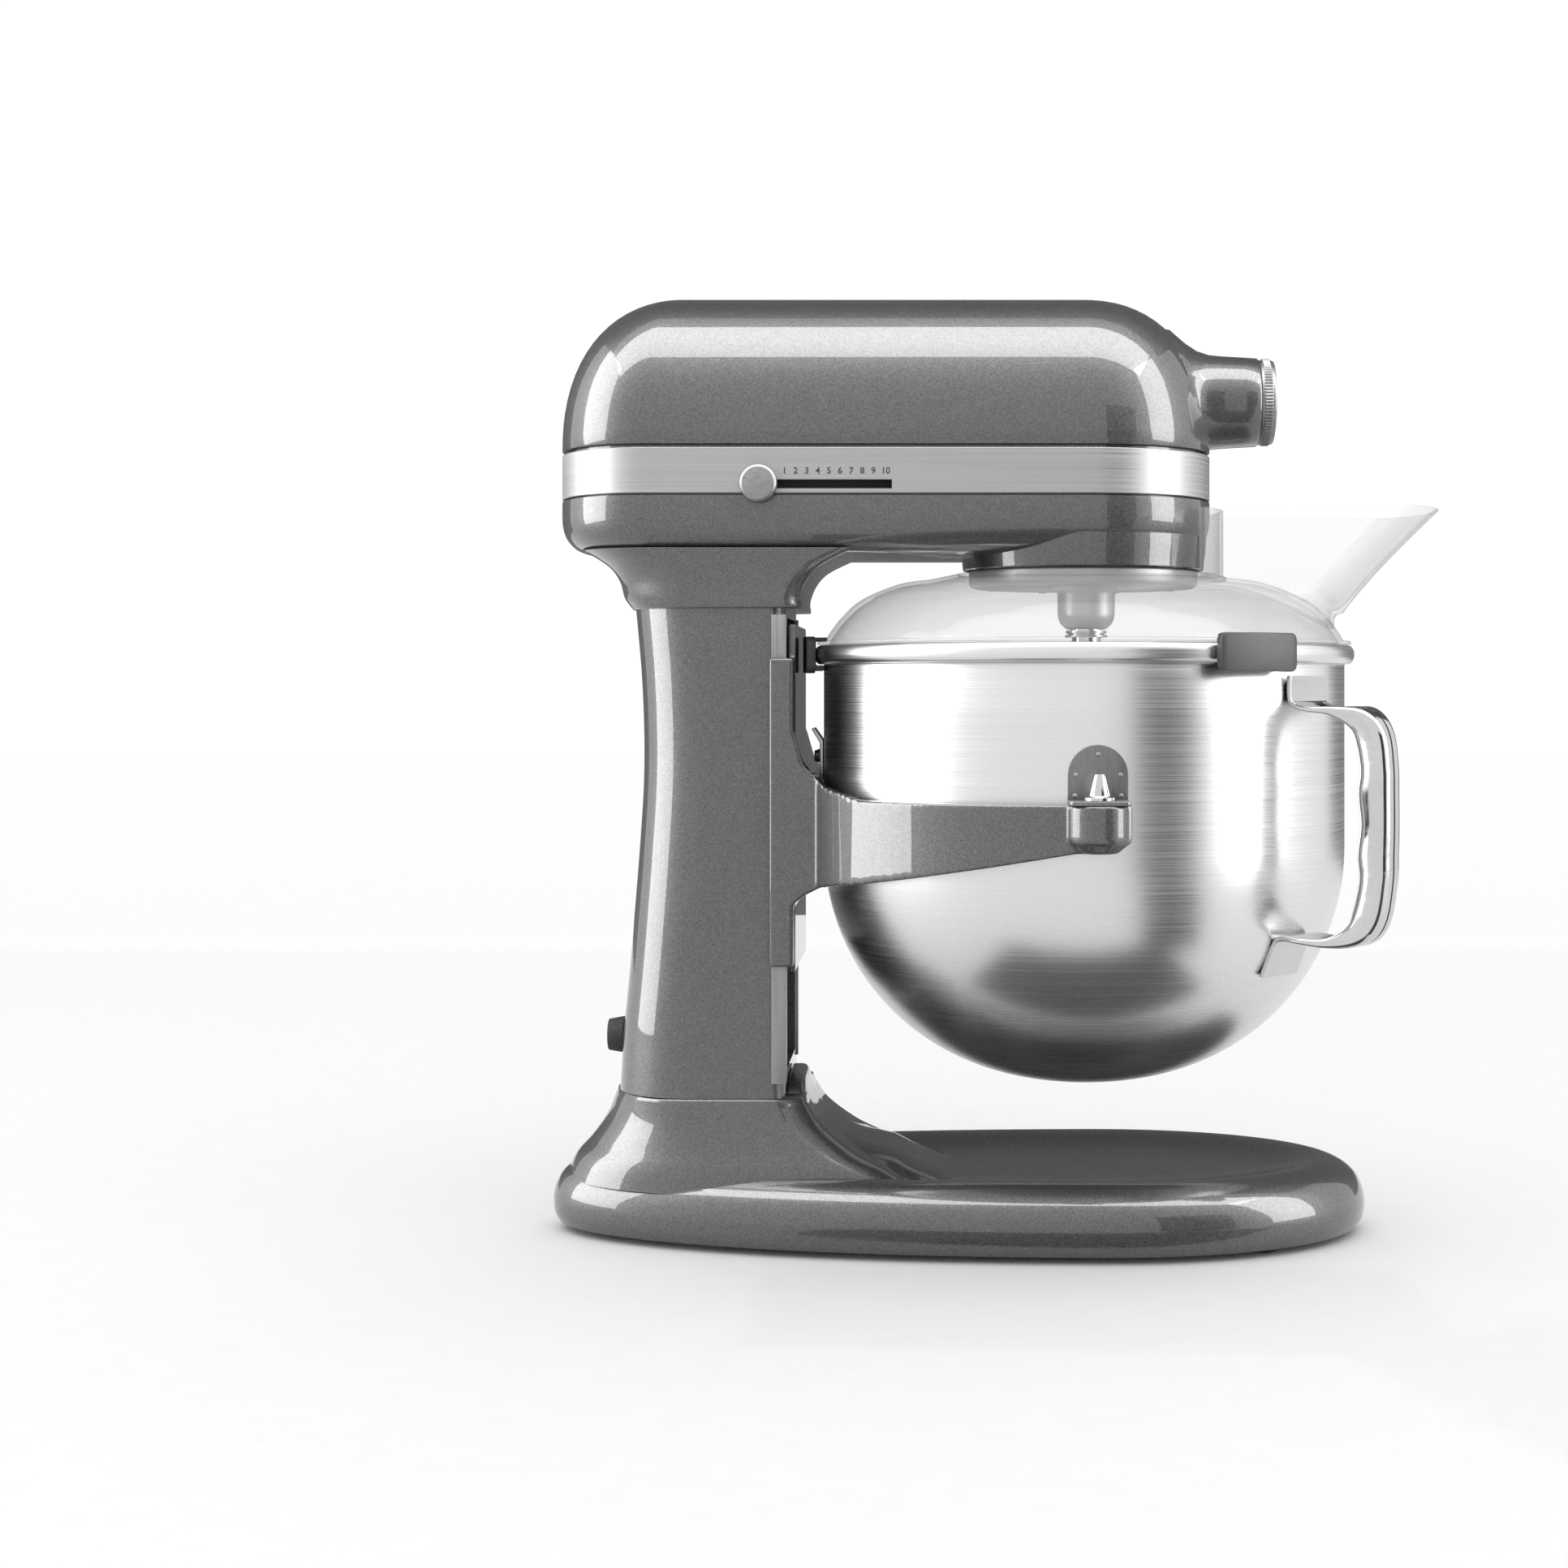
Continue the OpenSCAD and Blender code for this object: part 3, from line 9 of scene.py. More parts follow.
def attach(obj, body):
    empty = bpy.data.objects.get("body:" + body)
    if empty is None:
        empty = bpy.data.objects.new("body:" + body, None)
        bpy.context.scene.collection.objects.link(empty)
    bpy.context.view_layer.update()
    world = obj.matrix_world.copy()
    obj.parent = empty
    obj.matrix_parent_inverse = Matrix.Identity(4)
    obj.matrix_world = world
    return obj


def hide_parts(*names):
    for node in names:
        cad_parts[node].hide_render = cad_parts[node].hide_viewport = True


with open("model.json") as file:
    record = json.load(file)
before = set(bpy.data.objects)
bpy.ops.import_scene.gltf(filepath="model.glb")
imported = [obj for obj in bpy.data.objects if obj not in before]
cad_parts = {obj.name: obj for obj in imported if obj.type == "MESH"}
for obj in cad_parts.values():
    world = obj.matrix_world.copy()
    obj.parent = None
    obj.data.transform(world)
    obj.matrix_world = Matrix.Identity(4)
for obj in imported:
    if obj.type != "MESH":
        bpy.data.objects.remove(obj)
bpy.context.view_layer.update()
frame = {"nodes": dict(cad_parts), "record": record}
MM = 0.001

# ------------------------------------------------------------ sizes, in millimetres
BOWL_X = 40.0
BOWL_R = 118.0
BOWL_WALL = 1.2
BOWL_ROUND_H = 107.0
RIM_Z = 264.0
ROUND_Z = 174.0
BOWL_BOTTOM_Z = 67.0
HEAD_FLOOR_Z = 303.0
BAND_Z = 329.5
BAND_H = 20.0
COVER_Z = 351.0
COVER_H = 70.0
HEAD_HW = 57.5
HEAD_REAR_X = -196.6
HUB_Z = 375.0
HUB_END_X = 119.5
ARM_TOP_Z = 197.0
COLUMN_FRONT_X = -93.0
PLATE_REAR_X = -91.8
COLUMN_REAR_X = -162.0
COLUMN_TOP_Z = 280.0
COLUMN_HW = 46.0
SHOULDER_Z = 65.0
BASE_RIM_Z = 32.0
DISH_Z = 26.5
BASE_MID_X = 49.6
BASE_FRONT_X = 167.6
BASE_REAR_X = -201.0
BASE_HW = 88.0
PLANET_Y = -27.5
COLLAR_Z = 298.0
KNOB_X = -103.7
KNOB_Z = 333.5
SLOT_X = (-107.2, -45.9)
DIGIT_X = -92.6
DIGIT_PITCH = 4.83
DIGIT_Z = 338.0
DIGIT_SIZE = 3.9
LOCK_X = 105.5
LEVER_X = -112.0
LEVER_Z = 195.0
GRIP_Y = 57.5
GLAND_Z = 87.0
PIN_Y = 130.4
HANDLE_ANGLE = -40
CHUTE_TOP_Z = 325.0
CHUTE_STEPS = 14


# ------------------------------------------------------------ materials
def principled(name, color, **values):
    """A material with one Principled shader, its uniform values set on the sockets."""
    mat = bpy.data.materials.new(name)
    mat.use_nodes = True
    bsdf = mat.node_tree.nodes["Principled BSDF"]
    bsdf.inputs["Base Color"].default_value = (*color, 1)
    for key, value in values.items():
        bsdf.inputs[key.replace("_", " ")].default_value = value
    return mat, mat.node_tree.nodes, mat.node_tree.links, bsdf


def texture_space(nodes, links, scale):
    """Object coordinates stretched by scale, per metre."""
    coord = nodes.new("ShaderNodeTexCoord")
    mapping = nodes.new("ShaderNodeMapping")
    mapping.inputs["Scale"].default_value = scale
    links.new(coord.outputs["Object"], mapping.inputs["Vector"])
    return mapping.outputs["Vector"]


def noise(nodes, links, vector, detail=3.0, scale=1.0):
    tex = nodes.new("ShaderNodeTexNoise")
    tex.inputs["Scale"].default_value = scale
    tex.inputs["Detail"].default_value = detail
    links.new(vector, tex.inputs["Vector"])
    return tex.outputs["Fac"]


def remap(nodes, links, value, low, high, from_low=0.3, from_high=0.7):
    node = nodes.new("ShaderNodeMapRange")
    node.inputs["From Min"].default_value = from_low
    node.inputs["From Max"].default_value = from_high
    node.inputs["To Min"].default_value = low
    node.inputs["To Max"].default_value = high
    links.new(value, node.inputs["Value"])
    return node.outputs["Result"]


def tint(nodes, links, bsdf, value, dark, light):
    """Base colour between two colours, by value 0 to 1."""
    ramp = nodes.new("ShaderNodeValToRGB")
    ramp.color_ramp.elements[0].color = (*dark, 1)
    ramp.color_ramp.elements[1].color = (*light, 1)
    ramp.color_ramp.elements[0].position = 0.25
    ramp.color_ramp.elements[1].position = 0.75
    links.new(value, ramp.inputs["Fac"])
    links.new(ramp.outputs["Color"], bsdf.inputs["Base Color"])


def bump(nodes, links, bsdf, height, distance, strength=1.0):
    node = nodes.new("ShaderNodeBump")
    node.inputs["Strength"].default_value = strength
    node.inputs["Distance"].default_value = distance
    links.new(height, node.inputs["Height"])
    links.new(node.outputs["Normal"], bsdf.inputs["Normal"])


def flake_paint(name, dark, light):
    """Metallic paint with fine flakes under a clear coat."""
    mat, nodes, links, bsdf = principled(
        name, light, Metallic=0.6, Roughness=0.4, Coat_Weight=1.0, Coat_Roughness=0.025, Coat_IOR=1.55
    )
    cells = nodes.new("ShaderNodeTexVoronoi")
    cells.inputs["Scale"].default_value = 2600.0
    coord = nodes.new("ShaderNodeTexCoord")
    links.new(coord.outputs["Object"], cells.inputs["Vector"])
    split = nodes.new("ShaderNodeSeparateColor")
    links.new(cells.outputs["Color"], split.inputs["Color"])
    tint(nodes, links, bsdf, split.outputs["Red"], dark, light)
    rough = remap(nodes, links, split.outputs["Green"], 0.34, 0.5, 0.0, 1.0)
    links.new(rough, bsdf.inputs["Roughness"])
    bump(nodes, links, bsdf, split.outputs["Blue"], 0.00002, 0.12)
    return mat


def brushed(name, dark, light, scale, rough, relief=0.000004, **values):
    """Metal brushed along the directions in which scale is small."""
    mat, nodes, links, bsdf = principled(name, light, Metallic=1.0, Roughness=rough, **values)
    lines = noise(nodes, links, texture_space(nodes, links, scale), 4.0)
    tint(nodes, links, bsdf, lines, dark, light)
    links.new(remap(nodes, links, lines, rough * 0.8, rough * 1.25), bsdf.inputs["Roughness"])
    bump(nodes, links, bsdf, lines, relief, 0.5)
    return mat


def polished(name, color, rough=0.06):
    """Polished metal with faint wipe marks."""
    mat, nodes, links, bsdf = principled(name, color, Metallic=1.0, Roughness=rough)
    marks = noise(nodes, links, texture_space(nodes, links, (160, 160, 420)), 5.0)
    links.new(remap(nodes, links, marks, rough * 0.6, rough * 1.6), bsdf.inputs["Roughness"])
    tint(nodes, links, bsdf, marks, tuple(c * 0.95 for c in color), color)
    return mat


def moulded(name, dark, light, rough, grain=1400.0, relief=0.00002, **values):
    """Plastic, rubber or a plain cast face with a fine grain."""
    mat, nodes, links, bsdf = principled(name, light, Roughness=rough, **values)
    fine = noise(nodes, links, texture_space(nodes, links, (grain, grain, grain)), 3.0)
    broad = noise(nodes, links, texture_space(nodes, links, (60, 60, 60)), 2.0)
    tint(nodes, links, bsdf, broad, dark, light)
    links.new(remap(nodes, links, fine, rough * 0.88, rough * 1.12), bsdf.inputs["Roughness"])
    bump(nodes, links, bsdf, fine, relief, 0.4)
    return mat


def clear_plastic(name):
    """Thin clear sheet: seen through face on, and milky where it is seen edge on."""
    mat, nodes, links, bsdf = principled(
        name, (0.7, 0.71, 0.72), Roughness=0.05, IOR=1.49, Specular_IOR_Level=0.8
    )
    facing = nodes.new("ShaderNodeLayerWeight")
    facing.inputs["Blend"].default_value = 0.32
    alpha = remap(nodes, links, facing.outputs["Facing"], 0.035, 0.5, 0.0, 1.0)
    links.new(alpha, bsdf.inputs["Alpha"])
    haze = noise(nodes, links, texture_space(nodes, links, (90, 90, 90)), 3.0)
    links.new(remap(nodes, links, haze, 0.03, 0.08), bsdf.inputs["Roughness"])
    tint(nodes, links, bsdf, haze, (0.68, 0.69, 0.7), (0.73, 0.74, 0.75))
    return mat


M = {
    "paint": flake_paint("flake_paint", (0.062, 0.063, 0.065), (0.118, 0.12, 0.123)),
    "trim": brushed("brushed_band", (0.33, 0.335, 0.34), (0.41, 0.415, 0.42), (5, 5, 3800), 0.46, 0.000001),
    "bowl_steel": brushed(
        "brushed_bowl", (0.66, 0.66, 0.66), (0.71, 0.71, 0.71), (3, 3, 5200), 0.28, 0.0000003
    ),
    "polished_steel": polished("polished_steel", (0.6, 0.6, 0.61), 0.08),
    "knob": brushed("satin_knob", (0.24, 0.243, 0.247), (0.3, 0.303, 0.307), (300, 300, 900), 0.45),
    # Satin steel rails, their colour darkened as painted shade because they sit in the column's slot
    "rail": brushed("satin_rail_painted_shade", (0.26, 0.26, 0.26), (0.34, 0.34, 0.34), (900, 900, 20), 0.42),
    "steel": brushed("machined_steel", (0.42, 0.42, 0.43), (0.56, 0.56, 0.57), (500, 500, 2200), 0.3),
    "planetary_cast": moulded(
        "satin_silver", (0.4, 0.405, 0.41), (0.47, 0.475, 0.48), 0.4, Metallic=0.75
    ),
    "cast_metal": moulded(
        "cast_metal", (0.36, 0.36, 0.37), (0.46, 0.46, 0.47), 0.5, 800.0, 0.00004, Metallic=0.8
    ),
    "black_plastic": moulded("black_plastic", (0.018, 0.018, 0.019), (0.03, 0.03, 0.032), 0.5),
    "clip_plastic": moulded("grey_plastic", (0.048, 0.049, 0.052), (0.066, 0.067, 0.07), 0.46),
    "rubber": moulded("rubber", (0.02, 0.02, 0.02), (0.035, 0.035, 0.035), 0.75, 900.0, 0.00005),
    "laminations": brushed("laminations", (0.08, 0.07, 0.06), (0.16, 0.14, 0.13), (2500, 40, 40), 0.55),
    "copper": brushed("copper", (0.42, 0.16, 0.07), (0.62, 0.28, 0.14), (1500, 60, 60), 0.35),
    "bronze": moulded("bronze", (0.36, 0.24, 0.09), (0.5, 0.35, 0.14), 0.38, Metallic=0.9),
    "board": moulded("green_board", (0.01, 0.09, 0.03), (0.02, 0.14, 0.05), 0.35),
    "nylon": moulded("nylon", (0.66, 0.66, 0.63), (0.75, 0.75, 0.72), 0.45),
    "clear_plastic": clear_plastic("clear_sheet"),
}
CAP = brushed("cap_steel", (0.2, 0.2, 0.203), (0.27, 0.27, 0.273), (400, 900, 900), 0.42)
BRACKET = brushed("bracket_steel", (0.17, 0.17, 0.172), (0.23, 0.23, 0.233), (900, 900, 120), 0.4)
PRINT = moulded("printed_mark", (0.03, 0.03, 0.032), (0.045, 0.045, 0.047), 0.5)
# Near black: the speed slot's black liner, and painted shade inside the handle's slit
BLACK_AND_SHADE = moulded("black_and_painted_shade", (0.006, 0.006, 0.006), (0.012, 0.012, 0.012), 0.7)
WELD = brushed("weld_dot", (0.2, 0.2, 0.2), (0.34, 0.34, 0.34), (900, 900, 900), 0.35)
FLOOR = moulded("floor", (0.93, 0.93, 0.93), (0.95, 0.95, 0.95), 0.8, 200.0, 0.00002)

for entry in frame["record"]["subparts"]:
    cad = frame["nodes"][entry["node"]]
    cad.data.materials.clear()
    cad.data.materials.append(M[entry["material_slot"]])


# ------------------------------------------------------------ mesh helpers
def arc(cx, cy, rx, ry, a0, a1, n):
    steps = [a0 + (a1 - a0) * i / n for i in range(n + 1)]
    return [(cx + rx * cos(radians(a)), cy + ry * sin(radians(a))) for a in steps]


def slab_plan(x0, x1, hw, rear_r, front_r, n=10):
    """Rounded rectangle in plan, with its own corner radius at the rear and at the front."""
    return (
        arc(x1 - front_r, -hw + front_r, front_r, front_r, -90, 0, n)
        + arc(x1 - front_r, hw - front_r, front_r, front_r, 0, 90, n)
        + arc(x0 + rear_r, hw - rear_r, rear_r, rear_r, 90, 180, n)
        + arc(x0 + rear_r, -hw + rear_r, rear_r, rear_r, 180, 270, n)
    )


def head_plan(inset, n=48):
    w = HEAD_HW - inset
    rear = 0.75 * w
    return arc(BOWL_X, 0, w, w, -90, 90, n) + arc(HEAD_REAR_X + inset + rear, 0, rear, w, 90, 270, n)


def base_plan(inset):
    hw = BASE_HW - inset
    front = arc(BASE_MID_X, 0, BASE_FRONT_X - BASE_MID_X - inset, hw, -89, 89, 56)
    return front + arc(BASE_MID_X, 0, BASE_MID_X - BASE_REAR_X - inset, hw, 91, 269, 72)


def at(plan, z):
    return [(x, y, z) for x, y in plan]


def loft(bm, rings, caps=True):
    """Skins rings of equal length, given in millimetres."""
    rows = [[bm.verts.new(Vector(p) * MM) for p in ring] for ring in rings]
    n = len(rings[0])
    for a, b in zip(rows, rows[1:]):
        for i in range(n):
            j = (i + 1) % n
            bm.faces.new((a[i], a[j], b[j], b[i]))
    if caps:
        bm.faces.new(list(reversed(rows[0])))
        bm.faces.new(rows[-1])
    return rows


def sweep_tube(bm, rings):
    """Skins rings into a closed loop, so that the last one joins the first."""
    rows = [[bm.verts.new(Vector(p) * MM) for p in ring] for ring in rings]
    n = len(rings[0])
    for k, a in enumerate(rows):
        b = rows[(k + 1) % len(rows)]
        for i in range(n):
            j = (i + 1) % n
            bm.faces.new((a[i], a[j], b[j], b[i]))


def revolve(bm, profile, centre=(0, 0, 0), axis="Z", steps=128, a0=0.0, a1=360.0):
    """Turns a profile of (radius, height) about an axis; less than a full turn gets end faces."""
    full = a1 - a0 >= 360
    count = steps if full else steps + 1
    rows = []
    for i in range(count):
        a = radians(a0 + (a1 - a0) * i / steps)
        row = []
        for r, h in profile:
            p = (r * cos(a), r * sin(a), h) if axis == "Z" else (h, r * cos(a), r * sin(a))
            if axis == "Y":
                p = (r * sin(a), h, r * cos(a))
            row.append(bm.verts.new((Vector(p) + Vector(centre)) * MM))
        rows.append(row)
    last = count if full else count - 1
    m = len(profile)
    closed = profile[0][0] > 0.001 and profile[-1][0] > 0.001
    for i in range(last):
        a, b = rows[i], rows[(i + 1) % count]
        for k in range(m if closed else m - 1):
            q = (k + 1) % m
            bm.faces.new((a[k], b[k], b[q], a[q]))
    if not full:
        bm.faces.new(rows[0])
        bm.faces.new(list(reversed(rows[-1])))


def rounded_profile(points, radius, steps=5):
    """A profile with its corners rounded. The first and last point stay."""
    out = [points[0]]
    for before, here, after in zip(points, points[1:], points[2:]):
        p, a, b = Vector(here), Vector(before), Vector(after)
        r = min(radius, (a - p).length * 0.45, (b - p).length * 0.45)
        start, end = p + (a - p).normalized() * r, p + (b - p).normalized() * r
        for i in range(steps + 1):
            t = i / steps
            out.append(tuple(start * (1 - t) ** 2 + p * 2 * t * (1 - t) + end * t * t))
    return out + [points[-1]]


def block(bm, lo, hi):
    made = bmesh.ops.create_cube(bm, size=1.0)["verts"]
    size = [(b - a) * MM for a, b in zip(lo, hi)]
    mid = [(a + b) / 2 * MM for a, b in zip(lo, hi)]
    bmesh.ops.scale(bm, vec=size, verts=made)
    bmesh.ops.translate(bm, vec=mid, verts=made)
    return made


def mirrored(bm):
    """Adds the copy on the other side of the plane y = 0."""
    copy = bmesh.ops.duplicate(bm, geom=bm.verts[:] + bm.edges[:] + bm.faces[:])["geom"]
    verts = [g for g in copy if isinstance(g, bmesh.types.BMVert)]
    bmesh.ops.scale(bm, vec=(1, -1, 1), verts=verts)


def baked(obj):
    """Applies the object's modifiers."""
    bpy.context.view_layer.update()
    graph = bpy.context.evaluated_depsgraph_get()
    mesh = bpy.data.meshes.new_from_object(obj.evaluated_get(graph))
    obj.modifiers.clear()
    obj.data = mesh


def recoat(obj, mat, angle):
    """One material on the whole object, and its shading finished."""
    obj.data.materials.clear()
    obj.data.materials.append(mat)
    finish_mesh(obj, angle)


def finish_mesh(obj, angle):
    obj.data.shade_smooth()
    obj.data.set_sharp_from_angle(angle=radians(angle))


def to_object(name, bm, mat, angle=35.0, weld=0.00002, bevel=0.0, bevel_angle=35.0):
    """Makes an object of a finished mesh, its sharp edges rounded by bevel millimetres."""
    bmesh.ops.remove_doubles(bm, verts=bm.verts, dist=weld)
    bmesh.ops.recalc_face_normals(bm, faces=bm.faces)
    mesh = bpy.data.meshes.new(name)
    bm.to_mesh(mesh)
    bm.free()
    obj = bpy.data.objects.new(name, mesh)
    bpy.context.scene.collection.objects.link(obj)
    if bevel:
        mod = obj.modifiers.new("bevel", "BEVEL")
        mod.width, mod.segments = bevel * MM, 3
        mod.limit_method, mod.angle_limit = "ANGLE", radians(bevel_angle)
        baked(obj)
    recoat(obj, mat, angle)
    return obj


def piece(obj, body, slot, *nodes):
    """Attaches a finished object to its body and hides the CAD nodes that it replaces."""
    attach(obj, body)
    if nodes:
        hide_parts(*nodes)


def cut(obj, cutter, operation="DIFFERENCE"):
    """Cuts one object with another, which is used up."""
    mod = obj.modifiers.new("cut", "BOOLEAN")
    mod.operation, mod.solver, mod.object = operation, "EXACT", cutter
    baked(obj)
    bpy.data.objects.remove(cutter)


def cutter_of(build):
    bm = bmesh.new()
    build(bm)
    return to_object("cutter", bm, BLACK_AND_SHADE)


def cad_copy(name, node, slot, body, bevel=0.4, angle=32.0):
    """A CAD solid's shape with its edges rounded off."""
    bm = bmesh.new()
    bm.from_mesh(frame["nodes"][node].data)
    bmesh.ops.remove_doubles(bm, verts=bm.verts, dist=0.000005)
    bmesh.ops.dissolve_limit(
        bm, angle_limit=radians(1.0), verts=bm.verts, edges=bm.edges, use_dissolve_boundaries=False
    )
    obj = to_object(name, bm, M[slot], angle, 0.000005, bevel, angle)
    piece(obj, body, slot, node)


def smoothed_copy(name, node, slot, body, voxel=0.9, rounds=10):
    """A CAD casting remeshed and relaxed, so that all its edges are softly rounded."""
    bm = bmesh.new()
    bm.from_mesh(frame["nodes"][node].data)
    obj = to_object(name, bm, M[slot], 180.0, 0.000005)
    mod = obj.modifiers.new("remesh", "REMESH")
    mod.mode, mod.voxel_size = "VOXEL", voxel * MM
    mod = obj.modifiers.new("relax", "SMOOTH")
    mod.factor, mod.iterations = 0.5, rounds
    baked(obj)
    recoat(obj, M[slot], 180.0)
    piece(obj, body, slot, node)


def spline(values, steps):
    """Catmull-Rom rows between rows of numbers."""
    rows = [values[0]] + list(values) + [values[-1]]
    out = []
    for k in range(1, len(rows) - 2):
        for s in range(steps):
            t = s / steps
            row = []
            for a, b, c, d in zip(rows[k - 1], rows[k], rows[k + 1], rows[k + 2]):
                row.append(
                    0.5 * (2 * b + (c - a) * t + (2 * a - 5 * b + 4 * c - d) * t**2
                           + (3 * b - a - 3 * c + d) * t**3)
                )
            out.append(row)
    return out + [list(values[-1])]


# ------------------------------------------------------------ base and column
def boss_plan(x0, x1, hw, rear_len):
    return (
        arc(x1 - 16, -hw + 16, 16, 16, -90, 0, 12)
        + arc(x1 - 16, hw - 16, 16, 16, 0, 90, 12)
        + arc(x0 + rear_len, 0, rear_len, hw, 90, 270, 48)
    )


def build_base():
    bm = bmesh.new()
    profile = [
        (3, 3.2), (0.6, 7), (0, 12), (0.2, 16), (1.4, 20.5), (4.2, 25.4), (8.5, 29), (13.5, 31.2),
        (19, 32), (26, 31.2), (34, 29.3), (44, 27.6), (58, 26.7), (72, 26.5),
    ]
    rows = spline(profile, 4)
    loft(bm, [at(base_plan(i), z) for i, z in rows] + [at(base_plan(84), DISH_Z)])
    skin = to_object("base_skin", bm, M["paint"], 60.0)
    bm = bmesh.new()
    shares = [
        (-0.24, 33, 58, 13, 92), (0.06, 28.5, 43, 12, 84), (0.3, 21.5, 28, 9.5, 72), (0.6, 14.5, 15, 7, 57),
        (0.85, 11, 9, 5.3, 46), (0.94, 9.8, 7.8, 4.7, 42), (0.985, 9.0, 7.0, 4.2, 41), (1, 7.6, 5.6, 2.8, 40),
    ]
    rings = []
    for s in spline(shares, 5):
        plan = boss_plan(COLUMN_REAR_X - s[1], PLATE_REAR_X + s[2], COLUMN_HW + s[3], s[4])
        rings.append(at(plan, BASE_RIM_Z + s[0] * (SHOULDER_Z - BASE_RIM_Z)))
    loft(bm, rings)
    pedestal = to_object("pedestal", bm, M["paint"], 40.0)
    bm = bmesh.new()
    ramp = [(-92.6, 71.5), (-89.5, 71.6), (-87.4, 71.3), (-86.2, 70.2), (-85.2, 67.8)]
    ramp += arc(-48.8, 74, 37, 34, 192, 262, 22) + [(-46, 38.4), (-38, 34), (-26, 29), (-14, 25)]
    rings = []
    for x, z in ramp:
        shape = [(y / 20 * 50, 1 - abs(y / 20) ** 5) for y in range(-20, 21)]
        rings.append([(x, 50, 20), (x, -50, 20)] + [(x, y, 22 + (z - 22) * share) for y, share in shape])
    loft(bm, rings)
    lip = to_object("lip", bm, M["paint"], 50.0)
    cut(pedestal, lip, "UNION")
    cut(skin, pedestal, "UNION")
    skin.name = "base_body"
    recoat(skin, M["paint"], 38.0)
    piece(skin, "stand", "paint", "base_casting")


def build_column():
    sections = [
        (0, -7, 2.8), (0.12, -5.5, 2.2), (0.25, -2.8, 1.4), (0.38, -0.4, 0.8), (0.51, 1.8, 0.2),
        (0.64, 3.5, 0), (0.75, 3.6, 0), (0.86, 2.6, 0.3), (0.94, 1.2, 0.6), (1, 0, 0.8),
    ]
    bm = bmesh.new()
    rings = []
    for share, rear, side in spline(sections, 5):
        hw = COLUMN_HW + side
        plan = slab_plan(COLUMN_REAR_X + rear, COLUMN_FRONT_X, hw, 0.72 * hw, 7, 14)
        rings.append(at(plan, SHOULDER_Z + share * (COLUMN_TOP_Z - SHOULDER_Z)))
    loft(bm, rings)
    column = to_object("column", bm, M["paint"], 40.0)
    cut(column, cutter_of(lambda b: block(b, (-145, -35, 72), (-98, 35, 274))))
    cut(column, cutter_of(lambda b: block(b, (-105, -32, 76), (-92, 32, 276))))
    for side in (-1, 1):
        lo, hi = sorted((side * 43.5, side * 53))
        cut(column, cutter_of(lambda b: block(b, (-98.9, lo, 71.6), (-92, hi, 277))))
    gland = [(0, -180), (5, -180), (5, -150), (0, -150)]
    cut(column, cutter_of(lambda b: revolve(b, gland, (0, 0, GLAND_Z), "X", 48)))
    bush = [(0, 38), (10, 38), (10, 56), (0, 56)]
    cut(column, cutter_of(lambda b: revolve(b, bush, (LEVER_X, 0, LEVER_Z), "Y", 48)))
    recoat(column, M["paint"], 38.0)
    piece(column, "stand", "paint", "column_casting")


# ------------------------------------------------------------ head
def build_cover():
    bm = bmesh.new()
    power = 2.25
    angles = [0, 4, 8, 12, 17, 22, 27, 32, 37, 42, 47, 52, 57, 62, 67, 71, 75, 78.5, 81.5, 84, 86, 88, 89.2]
    w = HEAD_HW - 0.5
    rings = [at(head_plan(0.9), COVER_Z - 0.1), at(head_plan(0.25), COVER_Z + 0.15)]
    for a in angles:
        inset = w * (1 - cos(radians(a)) ** (2 / power))
        rings.append(at(head_plan(inset), COVER_Z + 0.6 + (COVER_H - 0.6) * sin(radians(a)) ** (2 / power)))
    loft(bm, rings)
    cover = to_object("head_cover", bm, M["paint"], 50.0)
    bm = bmesh.new()
    hub = [
        (0, 60), (36, 60), (33, 79), (27, 86), (23.4, 91.5), (21.6, 97), (21, 103), (20.5, 112),
        (20.1, HUB_END_X - 0.8), (19.4, HUB_END_X), (0, HUB_END_X),
    ]
    revolve(bm, hub, (0, 0, HUB_Z), "X", 128)
    nose = to_object("hub", bm, M["paint"], 35.0)
    cut(cover, nose, "UNION")
    bore = [(0, 62), (13.5, 62), (13.5, 90), (15.5, 90), (15.5, 112), (17.2, 112), (17.2, 125), (0, 125)]
    cut(cover, cutter_of(lambda b: revolve(b, bore, (0, 0, HUB_Z), "X", 96)))
    bm = bmesh.new()
    wall = rounded_profile([(3.1, 14), (8.6, 14), (7, 21.8), (3.1, 21.8)], 0.8)
    revolve(bm, wall, (LOCK_X, 0, HUB_Z), "Y", 64)
    boss = to_object("lock_boss", bm, M["paint"], 35.0)
    piece(boss, "stand", "paint")
    recoat(cover, M["paint"], 38.0)
    piece(cover, "stand", "paint", "head_top_cover")


